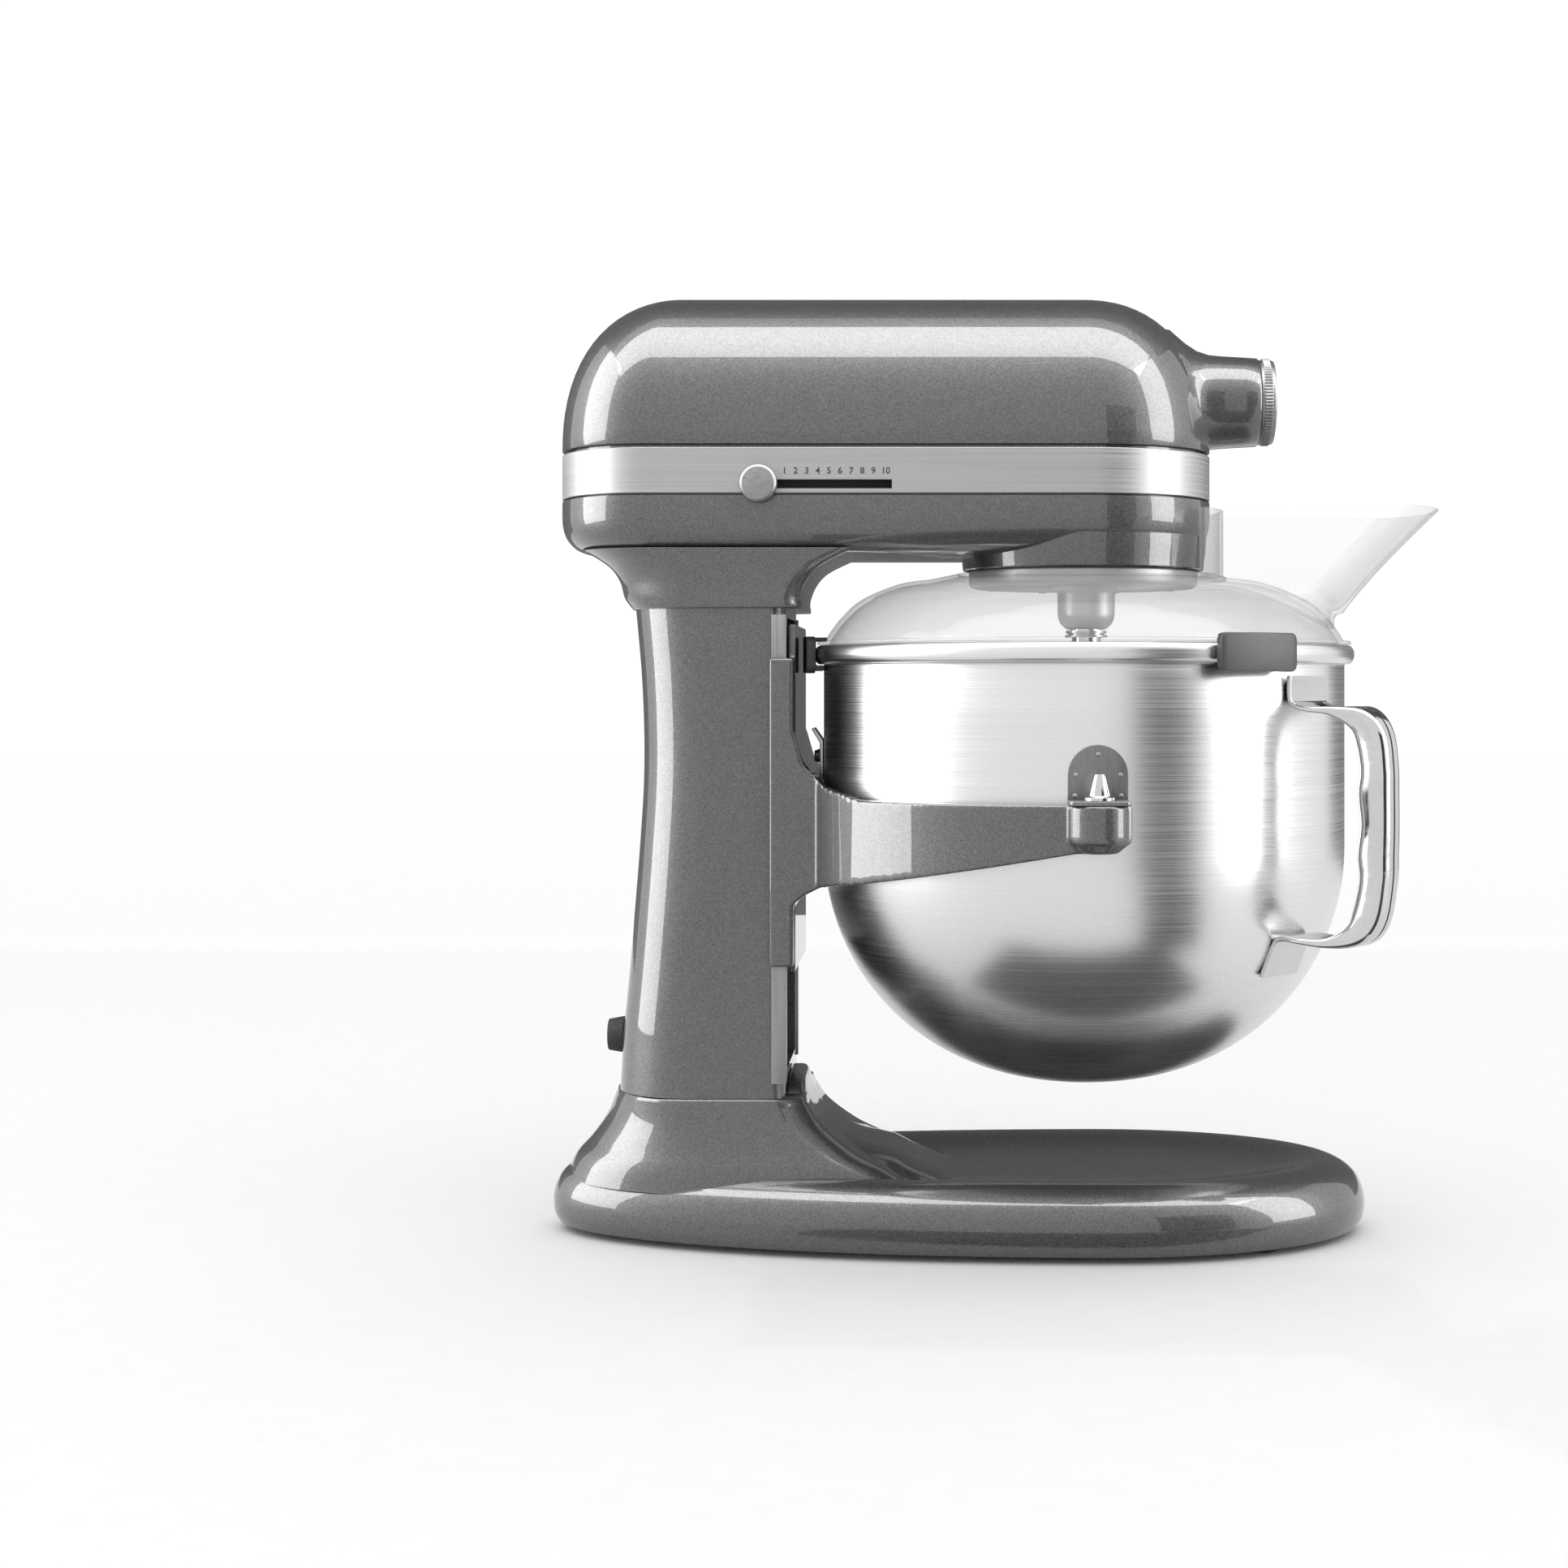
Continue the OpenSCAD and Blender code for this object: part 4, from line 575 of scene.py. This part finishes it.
def build_lower():
    bm = bmesh.new()
    profile = [
        (38, 0), (24, 0.9), (15, 1.8), (10, 2.9), (6.5, 4.4), (3.6, 7), (1.5, 10.2), (0.4, 14), (0, 18),
        (0, 25.0), (0.3, 25.6), (0.9, 25.9),
    ]
    rings = [at(head_plan(i), HEAD_FLOOR_Z + z) for i, z in spline(profile, 3)]
    loft(bm, rings + [at(head_plan(3), HEAD_FLOOR_Z + 25.9), at(head_plan(3), COVER_Z - 0.3)])
    lower = to_object("head_lower", bm, M["paint"], 50.0)
    # Neck, flared into the head's underside
    bm = bmesh.new()
    sections = [
        (-0.02, -1, 0, 2), (0.03, -2, 0, 3), (0.22, -5, -0.2, 3.2), (0.52, -7, 2.4, 3.4),
        (0.78, -11, 7.5, 4.2), (1, -18, 17, 5.2), (1.13, -24, 24, 5.6),
    ]
    rings = []
    for share, rear, front, side in spline(sections, 6):
        hw = COLUMN_HW + side
        plan = slab_plan(COLUMN_REAR_X + rear, -86 + front, hw, 0.72 * hw, 9, 14)
        rings.append(at(plan, COLUMN_TOP_Z + 0.3 + share * 23))
    loft(bm, rings)
    neck = to_object("neck", bm, M["paint"], 40.0)
    cut(lower, neck, "UNION")
    # Collar round the planetary disc
    bm = bmesh.new()
    collar = [
        (0, COLLAR_Z + 2), (53, COLLAR_Z + 2), (53, COLLAR_Z), (54.2, COLLAR_Z), (54.8, COLLAR_Z + 0.6),
        (55.1, 303), (55.6, 306), (56, 313), (0, 313),
    ]
    revolve(bm, collar, (BOWL_X, 0, 0), "Z", 160)
    ring = to_object("collar", bm, M["paint"], 35.0)
    piece(ring, "stand", "paint")
    recess = [(0, 290), (53, 290), (53, 300), (47, 300), (47, 312), (0, 312)]
    cut(lower, cutter_of(lambda b: revolve(b, recess, (BOWL_X, 0, 0), "Z", 128)))
    slot = (SLOT_X[0], -60, KNOB_Z - 2), (SLOT_X[1], -46, KNOB_Z + 2)
    cut(lower, cutter_of(lambda b: block(b, *slot)))
    recoat(lower, M["paint"], 38.0)
    piece(lower, "stand", "paint", "head_lower_housing")


def build_band():
    bm = bmesh.new()
    outer = [
        (2.8, BAND_Z), (0.35, BAND_Z), (0, BAND_Z + 0.35), (0, BAND_Z + BAND_H - 0.35),
        (0.35, BAND_Z + BAND_H), (2.8, BAND_Z + BAND_H),
    ]
    sweep_tube(bm, [at(head_plan(i), z) for i, z in outer])
    band = to_object("trim_band_visual", bm, M["trim"], 35.0)
    slot = (SLOT_X[0], -60, KNOB_Z - 2), (SLOT_X[1], -50, KNOB_Z + 2)
    cut(band, cutter_of(lambda b: block(b, *slot)))
    recoat(band, M["trim"], 35.0)
    piece(band, "stand", "trim", "trim_band")
    # Black liner behind the slot
    bm = bmesh.new()
    block(bm, (SLOT_X[0] - 2, -53, KNOB_Z - 4), (SLOT_X[1] + 2, -52.2, KNOB_Z + 4))
    for z in (KNOB_Z - 2.0, KNOB_Z + 1.7):
        block(bm, (SLOT_X[0], -57.45, z), (SLOT_X[1], -52.5, z + 0.3))
    block(bm, (SLOT_X[1] - 0.3, -57.45, KNOB_Z - 2), (SLOT_X[1], -52.5, KNOB_Z + 2))
    liner = to_object("slot_liner", bm, BLACK_AND_SHADE, 35.0, bevel=0.05)
    piece(liner, "stand", "black_plastic")
    # Speed numbers above the slot
    marks = bpy.data.meshes.new("speed_numbers")
    bm = bmesh.new()
    for i in range(10):
        curve = bpy.data.curves.new("digit", "FONT")
        curve.body = str(i + 1)
        curve.size, curve.extrude, curve.offset = DIGIT_SIZE * MM, 0.03 * MM, 0.07 * MM
        curve.align_x = "CENTER"
        digit = bpy.data.objects.new("digit", curve)
        bpy.context.scene.collection.objects.link(digit)
        x = DIGIT_X + i * DIGIT_PITCH + (0.5 if i == 9 else 0)
        corner = Matrix.Translation((x * MM, -57.53 * MM, DIGIT_Z * MM))
        place = corner @ Matrix.Rotation(pi / 2, 4, "X")
        bpy.context.view_layer.update()
        flat = bpy.data.meshes.new_from_object(digit.evaluated_get(bpy.context.evaluated_depsgraph_get()))
        flat.transform(place)
        bm.from_mesh(flat)
        bpy.data.objects.remove(digit)
    bm.to_mesh(marks)
    bm.free()
    numbers = bpy.data.objects.new("speed_numbers", marks)
    bpy.context.scene.collection.objects.link(numbers)
    marks.materials.clear()
    marks.materials.append(PRINT)
    piece(numbers, "stand", "black_plastic")


def build_knob():
    bm = bmesh.new()
    face = [
        (0, -65.35), (4, -65.2), (7.0, -64.7), (7.9, -63.9), (8.1, -62.8), (8.1, -59.6),
        (7.4, -58.7), (0, -58.7),
    ]
    revolve(bm, face, (KNOB_X, 0, KNOB_Z), "Y", 96)
    block(bm, (KNOB_X - 2.6, -59, KNOB_Z - 1.6), (KNOB_X + 2.6, -50.8, KNOB_Z + 1.6))
    knob = to_object("speed_knob_visual", bm, M["knob"], 30.0)
    piece(knob, "speed_slider", "knob", "speed_knob")


def build_hub_cap():
    bm = bmesh.new()
    ridges = 84
    n = ridges * 6
    profile = [
        (0, 126.1), (12, 126.1), (16.6, 126.2), (17.6, 126.5), (18.6, 126.3), (19.1, 125.6), (19.2, 124.9),
        (19.3, 124.6), (19.75, 124.3), (19.75, 121.2), (19.3, 120.9), (19.2, 119.9), (18.9, 119.6),
        (17.1, 119.6), (17.1, 112.7), (15.7, 112.7), (15.7, 121.5), (0, 121.5),
    ]
    rows = []
    for i in range(n):
        a = 2 * pi * i / n
        wave = 0.5 - 0.5 * cos(ridges * a)
        row = []
        for k, (r, x) in enumerate(profile):
            depth = 0.4 * wave if k in (8, 9) else 0
            row.append(bm.verts.new(Vector((x, (r - depth) * cos(a), HUB_Z + (r - depth) * sin(a))) * MM))
        rows.append(row)
    for i in range(n):
        a, b = rows[i], rows[(i + 1) % n]
        for k in range(len(profile) - 1):
            bm.faces.new((a[k], b[k], b[k + 1], a[k + 1]))
    cap = to_object("hub_cap_visual", bm, CAP, 35.0)
    piece(cap, "attachment_cap", "polished_steel", "hub_cap")


# ------------------------------------------------------------ planetary drive
def build_planetary():
    bm = bmesh.new()
    disc = rounded_profile([(0, 299.3), (52, 299.3), (52, 290), (0, 290)], 3.2, 8)
    revolve(bm, disc, (BOWL_X, 0, 0), "Z", 160)
    boss = [
        (7.05, 299), (12, 291), (14.6, 290.2), (13.3, 288.6), (12.8, 286.5), (12.7, 277.5),
        (12.4, 275.6), (11.4, 273.4), (9.8, 271.8), (8.6, 271.0), (7.05, 271.0),
    ]
    revolve(bm, boss, (BOWL_X, PLANET_Y, 0), "Z", 96)
    for k in range(8):
        a = radians(22.5 + 45 * k)
        x, y = BOWL_X + 44.5 * cos(a), 44.5 * sin(a)
        revolve(bm, [(0, 289.4), (1.7, 289.5), (2.1, 290.1), (0, 290.3)], (x, y, 0), "Z", 20)
    obj = to_object("planetary_body", bm, M["planetary_cast"], 35.0)
    piece(obj, "planetary", "planetary_cast", "planetary_disc")


def build_agitator():
    bm = bmesh.new()
    shaft = [
        (0, 228), (5.2, 228), (6.1, 228.6), (6.35, 229.6), (6.35, 241), (6.05, 241.1), (6.05, 242.1),
        (6.35, 242.2), (6.35, 267.4), (7, 267.6), (7, 311.5), (0, 311.5),
    ]
    revolve(bm, shaft, (BOWL_X, PLANET_Y, 0), "Z", 72)
    obj = to_object("tool_shaft", bm, M["polished_steel"], 30.0)
    piece(obj, "agitator", "polished_steel", "agitator_shaft")
    bm = bmesh.new()
    ring = [
        (7.02, 267.3), (9.1, 267.3), (9.4, 267.6), (9.4, 268.3), (8.1, 268.6), (8.1, 269.1),
        (9, 269.3), (9, 270.4), (7.02, 270.4),
    ]
    revolve(bm, ring, (BOWL_X, PLANET_Y, 0), "Z", 72)
    obj = to_object("drip_ring_visual", bm, M["steel"], 30.0)
    piece(obj, "agitator", "steel", "drip_ring")
    bm = bmesh.new()
    pin = [(0, 29.5), (1.9, 29.5), (2.4, 30.1), (2.4, 49.9), (1.9, 50.5), (0, 50.5)]
    revolve(bm, pin, (0, PLANET_Y, 247), "X", 40)
    obj = to_object("cross_pin", bm, M["polished_steel"], 30.0)
    piece(obj, "agitator", "polished_steel", "tool_pin")


# ------------------------------------------------------------ bowl
def bowl_curve(inset, n=44):
    rows = [(0, BOWL_BOTTOM_Z + inset)]
    for i in range(n + 1):
        a = radians(86 * (1 - i / n))
        rows.append(((BOWL_R - inset) * cos(a) ** 0.9, ROUND_Z - (BOWL_ROUND_H - inset) * sin(a)))
    return rows


def build_bowl():
    bm = bmesh.new()
    bead = arc(BOWL_R + 1.6, RIM_Z - 4.2, 2.8, 4.2, -150, 120, 22)
    profile = bowl_curve(0) + [(BOWL_R, 200), (BOWL_R, 230), (BOWL_R, RIM_Z - 8)] + bead
    inner_r = BOWL_R - BOWL_WALL
    profile += [(inner_r, RIM_Z - 2), (inner_r, 230), (inner_r, 200)]
    profile += list(reversed(bowl_curve(BOWL_WALL)))
    revolve(bm, profile, (BOWL_X, 0, 0), "Z", 256)
    bowl = to_object("bowl", bm, M["bowl_steel"], 50.0)
    piece(bowl, "carriage", "bowl_steel", "mixing_bowl")


def bowl_point(angle, r, z):
    a = radians(angle)
    return Vector((BOWL_X + r * cos(a), r * sin(a), z))


def weld_dot(bm, angle, z, r, size):
    """A small spot weld, facing away from the bowl's axis."""
    made = bmesh.ops.create_uvsphere(bm, u_segments=14, v_segments=8, radius=size * MM)["verts"]
    bmesh.ops.scale(bm, vec=(0.35, 1, 1), verts=made)
    bmesh.ops.rotate(bm, verts=made, matrix=Matrix.Rotation(radians(angle), 3, "Z"))
    bmesh.ops.translate(bm, verts=made, vec=bowl_point(angle, r, z) * MM)


def build_brackets():
    bm = bmesh.new()
    half = 12.5
    r0, r1 = BOWL_R - 0.2, BOWL_R + 1.5
    outline = arc(0, 12, half, half, 0, 180, 24) + [(-half, 0.2), (half, 0.2)]
    plates = []
    for r in (r0, r1):
        plates.append([(BOWL_X + u, -(r * r - u * u) ** 0.5, ARM_TOP_Z + v) for u, v in outline])
    loft(bm, plates)
    ledge = slab_plan(BOWL_X - half, BOWL_X + half, 9, 2.5, 2.5, 6)
    shift = -(BOWL_R + 9 - 1.0)
    loft(bm, [[(x, y + shift - 3.4, z) for x, y in ledge] for z in (ARM_TOP_Z + 0.05, ARM_TOP_Z + 1.9)])
    mirrored(bm)
    obj = to_object("bowl_brackets", bm, BRACKET, 30.0, bevel=0.3)
    piece(obj, "carriage", "bowl_steel", "bowl_side_brackets")
    bm = bmesh.new()
    for side in (-90, 90):
        for da, z in ((-4.4, 209), (4.4, 209), (0, 217.5), (-4.6, 200.5), (4.6, 200.5)):
            weld_dot(bm, side + da, z, BOWL_R + 1.45, 0.9)
    piece(to_object("bracket_welds", bm, WELD, 60.0), "carriage", "bowl_steel")


def handle_section(s):
    """One section of the handle: offset, height, normal angle, width, depth, slit depth and finger wave."""
    offset, z, angle, width, depth, slit, wave = s
    w, t = width / 2, depth / 2
    c = min(w, t) * 0.62
    half_gap = 0.55
    pts = []
    corners = [(w - c, t - c, 0), (-w + c, t - c, 90), (-w + c, -t + c, 180), (w - c, -t + c, 270)]
    for k, (cx, cy, a0) in enumerate(corners):
        pts += arc(cx, cy, c, c, a0, a0 + 90, 6)
        if k == 0:
            floor_gap = half_gap * 0.8
            pts += [(half_gap, t), (floor_gap, t - slit), (-floor_gap, t - slit), (-half_gap, t)]
    n = Vector((cos(radians(angle)), 0, sin(radians(angle))))
    centre = Vector((BOWL_R + offset, 0, z))
    ring = []
    for y, d in pts:
        if d < 0:
            d += wave
        p = centre + n * d
        p.y = y
        ring.append(p)
    return ring


def place_on_bowl(bm):
    """Turns what was built in the plane y = 0 to the handle's place."""
    turn = Matrix.Rotation(radians(HANDLE_ANGLE), 4, "Z")
    for v in bm.verts:
        v.co = turn @ v.co
    bmesh.ops.translate(bm, verts=bm.verts, vec=(BOWL_X * MM, 0, 0))


def build_handle():
    top, foot = 237.0, 138.0
    mid = (top + foot) / 2
    sections = [
        (1.3, top + 13, 0, 28, 2, 0, 0), (1.3, top + 4, 0, 28, 2, 0, 0), (3.2, top + 0.8, 50, 28, 2, 0, 0),
        (9, top - 1, 90, 27, 2.2, 0, 0), (20, top - 2, 87, 22, 4, 0.4, 0),
        (30, top - 5.5, 62, 17, 10.6, 1.2, 0),
        (35, top - 13, 25, 15, 14.2, 1.6, 0), (36.6, top - 26, 5, 15, 14.8, 1.6, 1.0),
        (36.7, top - 36, 2, 15, 15, 1.6, 0), (36.8, mid, 0, 15, 15, 1.6, 1.1),
        (36.5, foot + 37, -2, 15, 15, 1.6, 0),
        (36.2, foot + 26, -4, 15, 14.8, 1.6, 1.0), (33.5, foot + 11, -25, 15, 14.2, 1.6, 0),
        (28, foot + 3.2, -58, 17, 10, 1.2, 0), (17, foot - 0.6, -88, 22, 4, 0.4, 0),
        (6, foot - 0.2, -92, 28, 2.2, 0, 0),
        (-3.2, foot + 0.3, -80, 28, 2, 0, 0), (-7.0, foot - 3.0, -24, 28, 1.9, 0, 0),
        (-12.9, foot - 16.5, -24, 28, 1.9, 0, 0),
    ]
    bm = bmesh.new()
    loft(bm, [handle_section(s) for s in spline(sections, 8)])
    place_on_bowl(bm)
    obj = to_object("handle", bm, M["polished_steel"], 40.0)
    piece(obj, "carriage", "polished_steel", "bowl_handle")
    # Painted shade: a dark strip inside the slit between the folded edges
    bm = bmesh.new()
    rows = [s for s in spline(sections, 8) if s[5] > 1.0]
    strip = []
    for offset, z, angle, _, depth, slit, _ in rows:
        n = Vector((cos(radians(angle)), 0, sin(radians(angle))))
        mid_point = Vector((BOWL_R + offset, 0, z)) + n * (depth / 2 - 0.45 * slit)
        corners = ((-0.7, 0), (0.7, 0), (0.7, -0.5), (-0.7, -0.5))
        strip.append([mid_point + n * d + Vector((0, y, 0)) for y, d in corners])
    loft(bm, strip)
    place_on_bowl(bm)
    piece(to_object("handle_slit_shade", bm, BLACK_AND_SHADE, 40.0), "carriage", "black_plastic")
    bm = bmesh.new()
    for da in (-4.6, 4.6):
        angle = HANDLE_ANGLE + da
        weld_dot(bm, angle, 246, BOWL_R + 2.2, 0.85)
        made = bmesh.ops.create_uvsphere(bm, u_segments=14, v_segments=8, radius=0.85 * MM)["verts"]
        bmesh.ops.scale(bm, vec=(0.4, 1, 1), verts=made)
        turn3 = Matrix.Rotation(radians(angle), 3, "Z") @ Matrix.Rotation(radians(24), 3, "Y")
        bmesh.ops.rotate(bm, verts=made, matrix=turn3)
        bmesh.ops.translate(bm, verts=made, vec=bowl_point(angle, BOWL_R - 9.4, 128.5) * MM)
    piece(to_object("handle_welds", bm, WELD, 60.0), "carriage", "polished_steel")


# ------------------------------------------------------------ pouring shield
DOME = [
    (57, 296.8), (72, 293.6), (85, 291.6), (101, 284.8), (110, 276.8), (115.4, 269.8), (117.5, 266.0),
]


def dome_height(r):
    if r <= DOME[0][0]:
        return DOME[0][1]
    for (r0, z0), (r1, z1) in zip(DOME, DOME[1:]):
        if r <= r1:
            return z0 + (z1 - z0) * (r - r0) / (r1 - r0)
    return DOME[-1][1]


def chute_plan(back_r, front_r, back_a, front_hw, tip, n=12):
    side = back_r * sin(radians(back_a))
    x = back_r + 0.35 * (front_r - back_r)
    y = side + 0.35 * (front_hw - side)
    front = arc(front_r - tip, 0, tip, front_hw, -72, 72, n)
    return arc(0, 0, back_r, back_r, back_a, -back_a, n) + [(x, -y)] + front + [(x, y)]


def chute_ring(k, inset):
    """The chute's outline at share k of its height, drawn in by inset."""
    back = 62 + inset
    front = BOWL_R - 4 + 47 * (max(0, k - 0.1) / 0.9) ** 1.2 - inset
    half = 36 + 14 * k - inset
    ring = []
    for x, y in chute_plan(back, front, 37 - inset * 0.9, half, 22 + 6 * k):
        low = dome_height(hypot(x, y)) + 0.1
        ring.append((BOWL_X + x, y, low + k * (CHUTE_TOP_Z - low)))
    return ring


def build_shield():
    curve = spline(DOME, 5)
    outer = [tuple(p) for p in curve]
    inner = [(r - (1.6 if r > 98 else 0), z - 1.7) for r, z in curve[:-1]]
    flange = [(118.2, 265.7), (120.6, 265.8), (121, 265.4), (121, 264.6), (120.6, 264.4), (112, 264.4)]
    bm = bmesh.new()
    revolve(bm, outer + flange + list(reversed(inner)), (BOWL_X, 0, 0), "Z", 192)
    dome = to_object("dome", bm, M["clear_plastic"], 40.0)
    hole = [(BOWL_X + x, y) for x, y in chute_plan(65, 111, 34, 33, 22)]
    cut(dome, cutter_of(lambda b: loft(b, [at(hole, 255), at(hole, 320)])))
    recoat(dome, M["clear_plastic"], 40.0)
    piece(dome, "shield", "clear_plastic", "shield_dome")
    steps = [i / CHUTE_STEPS for i in range(CHUTE_STEPS + 1)]
    rings = [chute_ring(k, 0) for k in steps]
    rings += [chute_ring(1, 0.25), chute_ring(1, 1.5)]
    rings += [chute_ring(k, 1.7) for k in reversed(steps)]
    bm = bmesh.new()
    sweep_tube(bm, rings)
    obj = to_object("chute", bm, M["clear_plastic"], 38.0)
    piece(obj, "shield", "clear_plastic", "pour_chute")


def build_clips():
    bm = bmesh.new()
    top, bottom = 267.9, 251.6
    bar_in, bar_out = 123.2, 127.4
    start, turn, corner = 10.4, 18.4, 3.2
    mm_per_degree = 2.22
    hook = rounded_profile(
        [(117.6, 266.1), (122.8, 266.1), (122.8, 255), (119.1, 255), (119.1, bottom + 1),
         (124, bottom + 1), (124, top - 0.4), (117.6, top - 0.4), (117.6, 266.1)], 0.8, 3)
    for a in (-56, -176, 64):
        revolve(bm, hook[:-1], (BOWL_X, 0, 0), "Z", 20, a - 8.6, a + 7.2)
        # The bar outside the hook, its four corners rounded
        rings = []
        for i in range(41):
            share = i / 40
            reach = min(share, 1 - share) * turn * mm_per_degree
            drop = corner - sqrt(max(0, corner**2 - max(0, corner - reach) ** 2))
            angle = radians(a - start + turn * share)
            ring = []
            low, high = bottom + drop, top - drop
            for r, z in ((bar_in, low), (bar_out, low), (bar_out, high), (bar_in, high)):
                ring.append((BOWL_X + r * cos(angle), r * sin(angle), z))
            rings.append(ring)
        loft(bm, rings)
    obj = to_object("shield_clips_visual", bm, M["clip_plastic"], 35.0, bevel=0.7, bevel_angle=50.0)
    piece(obj, "shield", "clip_plastic", "shield_clips")


# ------------------------------------------------------------ carriage
def build_carriage():
    smoothed_copy("carriage_body", "bowl_carriage", "paint", "carriage", 0.8, 9)
    bm = bmesh.new()
    pin = [
        (0, 185.1), (4.3, 185.1), (4.3, 197.5), (6.2, 199.1), (6.2, 200.2), (4.4, 200.9),
        (4.1, 202), (2.6, 208), (2.0, 209.6), (1.1, 210), (0, 210),
    ]
    for side in (-1, 1):
        revolve(bm, pin, (BOWL_X, side * PIN_Y, 0), "Z", 48)
    obj = to_object("cone_pins", bm, M["polished_steel"], 30.0)
    piece(obj, "carriage", "polished_steel", "locating_pins")


def build_small_parts():
    cad_copy("rails", "guide_rails", "rail", "stand", 0.5)
    cad_copy("rear_spring", "bowl_rear_clip", "steel", "carriage", 0.25)
    cad_copy("feet", "rubber_feet", "rubber", "stand", 0.6)
    cad_copy("gland", "cord_gland", "rubber", "stand", 0.6)
    cad_copy("lever_arm", "lift_lever", "polished_steel", "lift_lever_assembly", 0.8)
    cad_copy("lock_wheel", "lock_knob", "black_plastic", "attachment_lock", 0.8, 40.0)
    cad_copy("rail_screw_heads", "rail_screws", "black_plastic", "stand", 0.3)
    cad_copy("lever_bearing", "lever_bush", "bronze", "stand", 0.4)
    cad_copy("drive_shaft", "pto_shaft", "steel", "attachment_drive", 0.3)
    bm = bmesh.new()
    grip = [
        (0, 225), (6, 225), (6.8, 226), (7.4, 229), (6.9, 236), (7.4, 250), (8.2, 262), (8.6, 269),
        (8.2, 273), (6.8, 275.6), (4, 276.8), (0, 277),
    ]
    revolve(bm, grip, (LEVER_X, GRIP_Y, 0), "Z", 48)
    obj = to_object("grip", bm, M["black_plastic"], 40.0)
    piece(obj, "lift_lever_assembly", "black_plastic", "lever_grip")


build_base()
build_column()
build_cover()
build_lower()
build_band()
build_knob()
build_hub_cap()
build_planetary()
build_agitator()
build_bowl()
build_brackets()
build_handle()
build_shield()
build_clips()
build_carriage()
build_small_parts()


# ------------------------------------------------------------ studio
def floor():
    bm = bmesh.new()
    bmesh.ops.create_grid(bm, x_segments=8, y_segments=8, size=9.0)
    mesh = bpy.data.meshes.new("floor")
    bm.to_mesh(mesh)
    bm.free()
    mesh.materials.append(FLOOR)
    obj = bpy.data.objects.new("floor", mesh)
    bpy.context.scene.collection.objects.link(obj)


def softbox(name, place, target, width, height, radiance):
    light = bpy.data.lights.new(name, "AREA")
    light.shape, light.size, light.size_y = "RECTANGLE", width, height
    light.energy = radiance * width * height * pi
    obj = bpy.data.objects.new(name, light)
    obj.location = place
    obj.rotation_euler = (Vector(target) - Vector(place)).to_track_quat("-Z", "Y").to_euler()
    obj.visible_diffuse = False
    obj.visible_camera = False
    bpy.context.scene.collection.objects.link(obj)


def card(name, corners, shade):
    """A grey card that only shows in reflections."""
    mat, _, _, _ = principled(name, (shade,) * 3, Roughness=0.9)
    mesh = bpy.data.meshes.new(name)
    mesh.from_pydata(corners, [], [(0, 1, 2, 3)])
    mesh.materials.append(mat)
    obj = bpy.data.objects.new(name, mesh)
    bpy.context.scene.collection.objects.link(obj)
    obj.visible_camera = False
    obj.visible_diffuse = False
    obj.visible_shadow = False


floor()
world = bpy.data.worlds.new("studio")
world.use_nodes = True
world.node_tree.nodes["Background"].inputs["Color"].default_value = (1, 1, 1, 1)
world.node_tree.nodes["Background"].inputs["Strength"].default_value = 1.05
bpy.context.scene.world = world
softbox("top_box", (-0.05, -0.4, 1.55), (-0.05, -0.1, 0.3), 2.8, 0.75, 6.5)
softbox("left_box", (-1.5, -0.1, 0.75), (0, 0, 0.3), 1.0, 1.5, 6.5)
softbox("right_box", (1.5, -0.45, 0.8), (0, -0.1, 0.3), 0.75, 1.6, 6.5)
card("right_card", [(0.52, -1.45, 0), (1.25, -1.2, 0), (1.25, -1.2, 0.95), (0.52, -1.45, 0.95)], 0.03)
strip = [(0.125, -0.235, 0.004), (0.214, -0.18, 0.004), (1.08, -1.08, 0.004), (0.553, -1.41, 0.004)]
card("floor_card", strip, 0.03)
sheet = [(-0.1, -0.22, 0.003), (0.17, -0.24, 0.003), (0.17, -0.095, 0.003), (-0.1, -0.095, 0.003)]
card("front_card", sheet, 0.06)
card("rear_card", [(-1.6, 1.3, 0.03), (1.6, 1.3, 0.03), (1.6, 1.3, 1.7), (-1.6, 1.3, 1.7)], 0.1)
card("ceiling_card", [(-1.6, 0.3, 1.7), (1.6, 0.3, 1.7), (1.6, 1.3, 1.7), (-1.6, 1.3, 1.7)], 0.1)

camera = bpy.data.cameras.new("camera")
camera.lens = 60.4
camera.sensor_width = 36.0
camera.shift_x = -0.1025
camera.shift_y = -0.060
camera.clip_start = 0.05
view = bpy.data.objects.new("camera", camera)
view.location = (-0.023, -1.2, 0.244)
view.rotation_euler = (pi / 2, 0, 0)
bpy.context.scene.collection.objects.link(view)
bpy.context.scene.camera = view
bpy.context.scene.view_settings.view_transform = "Standard"
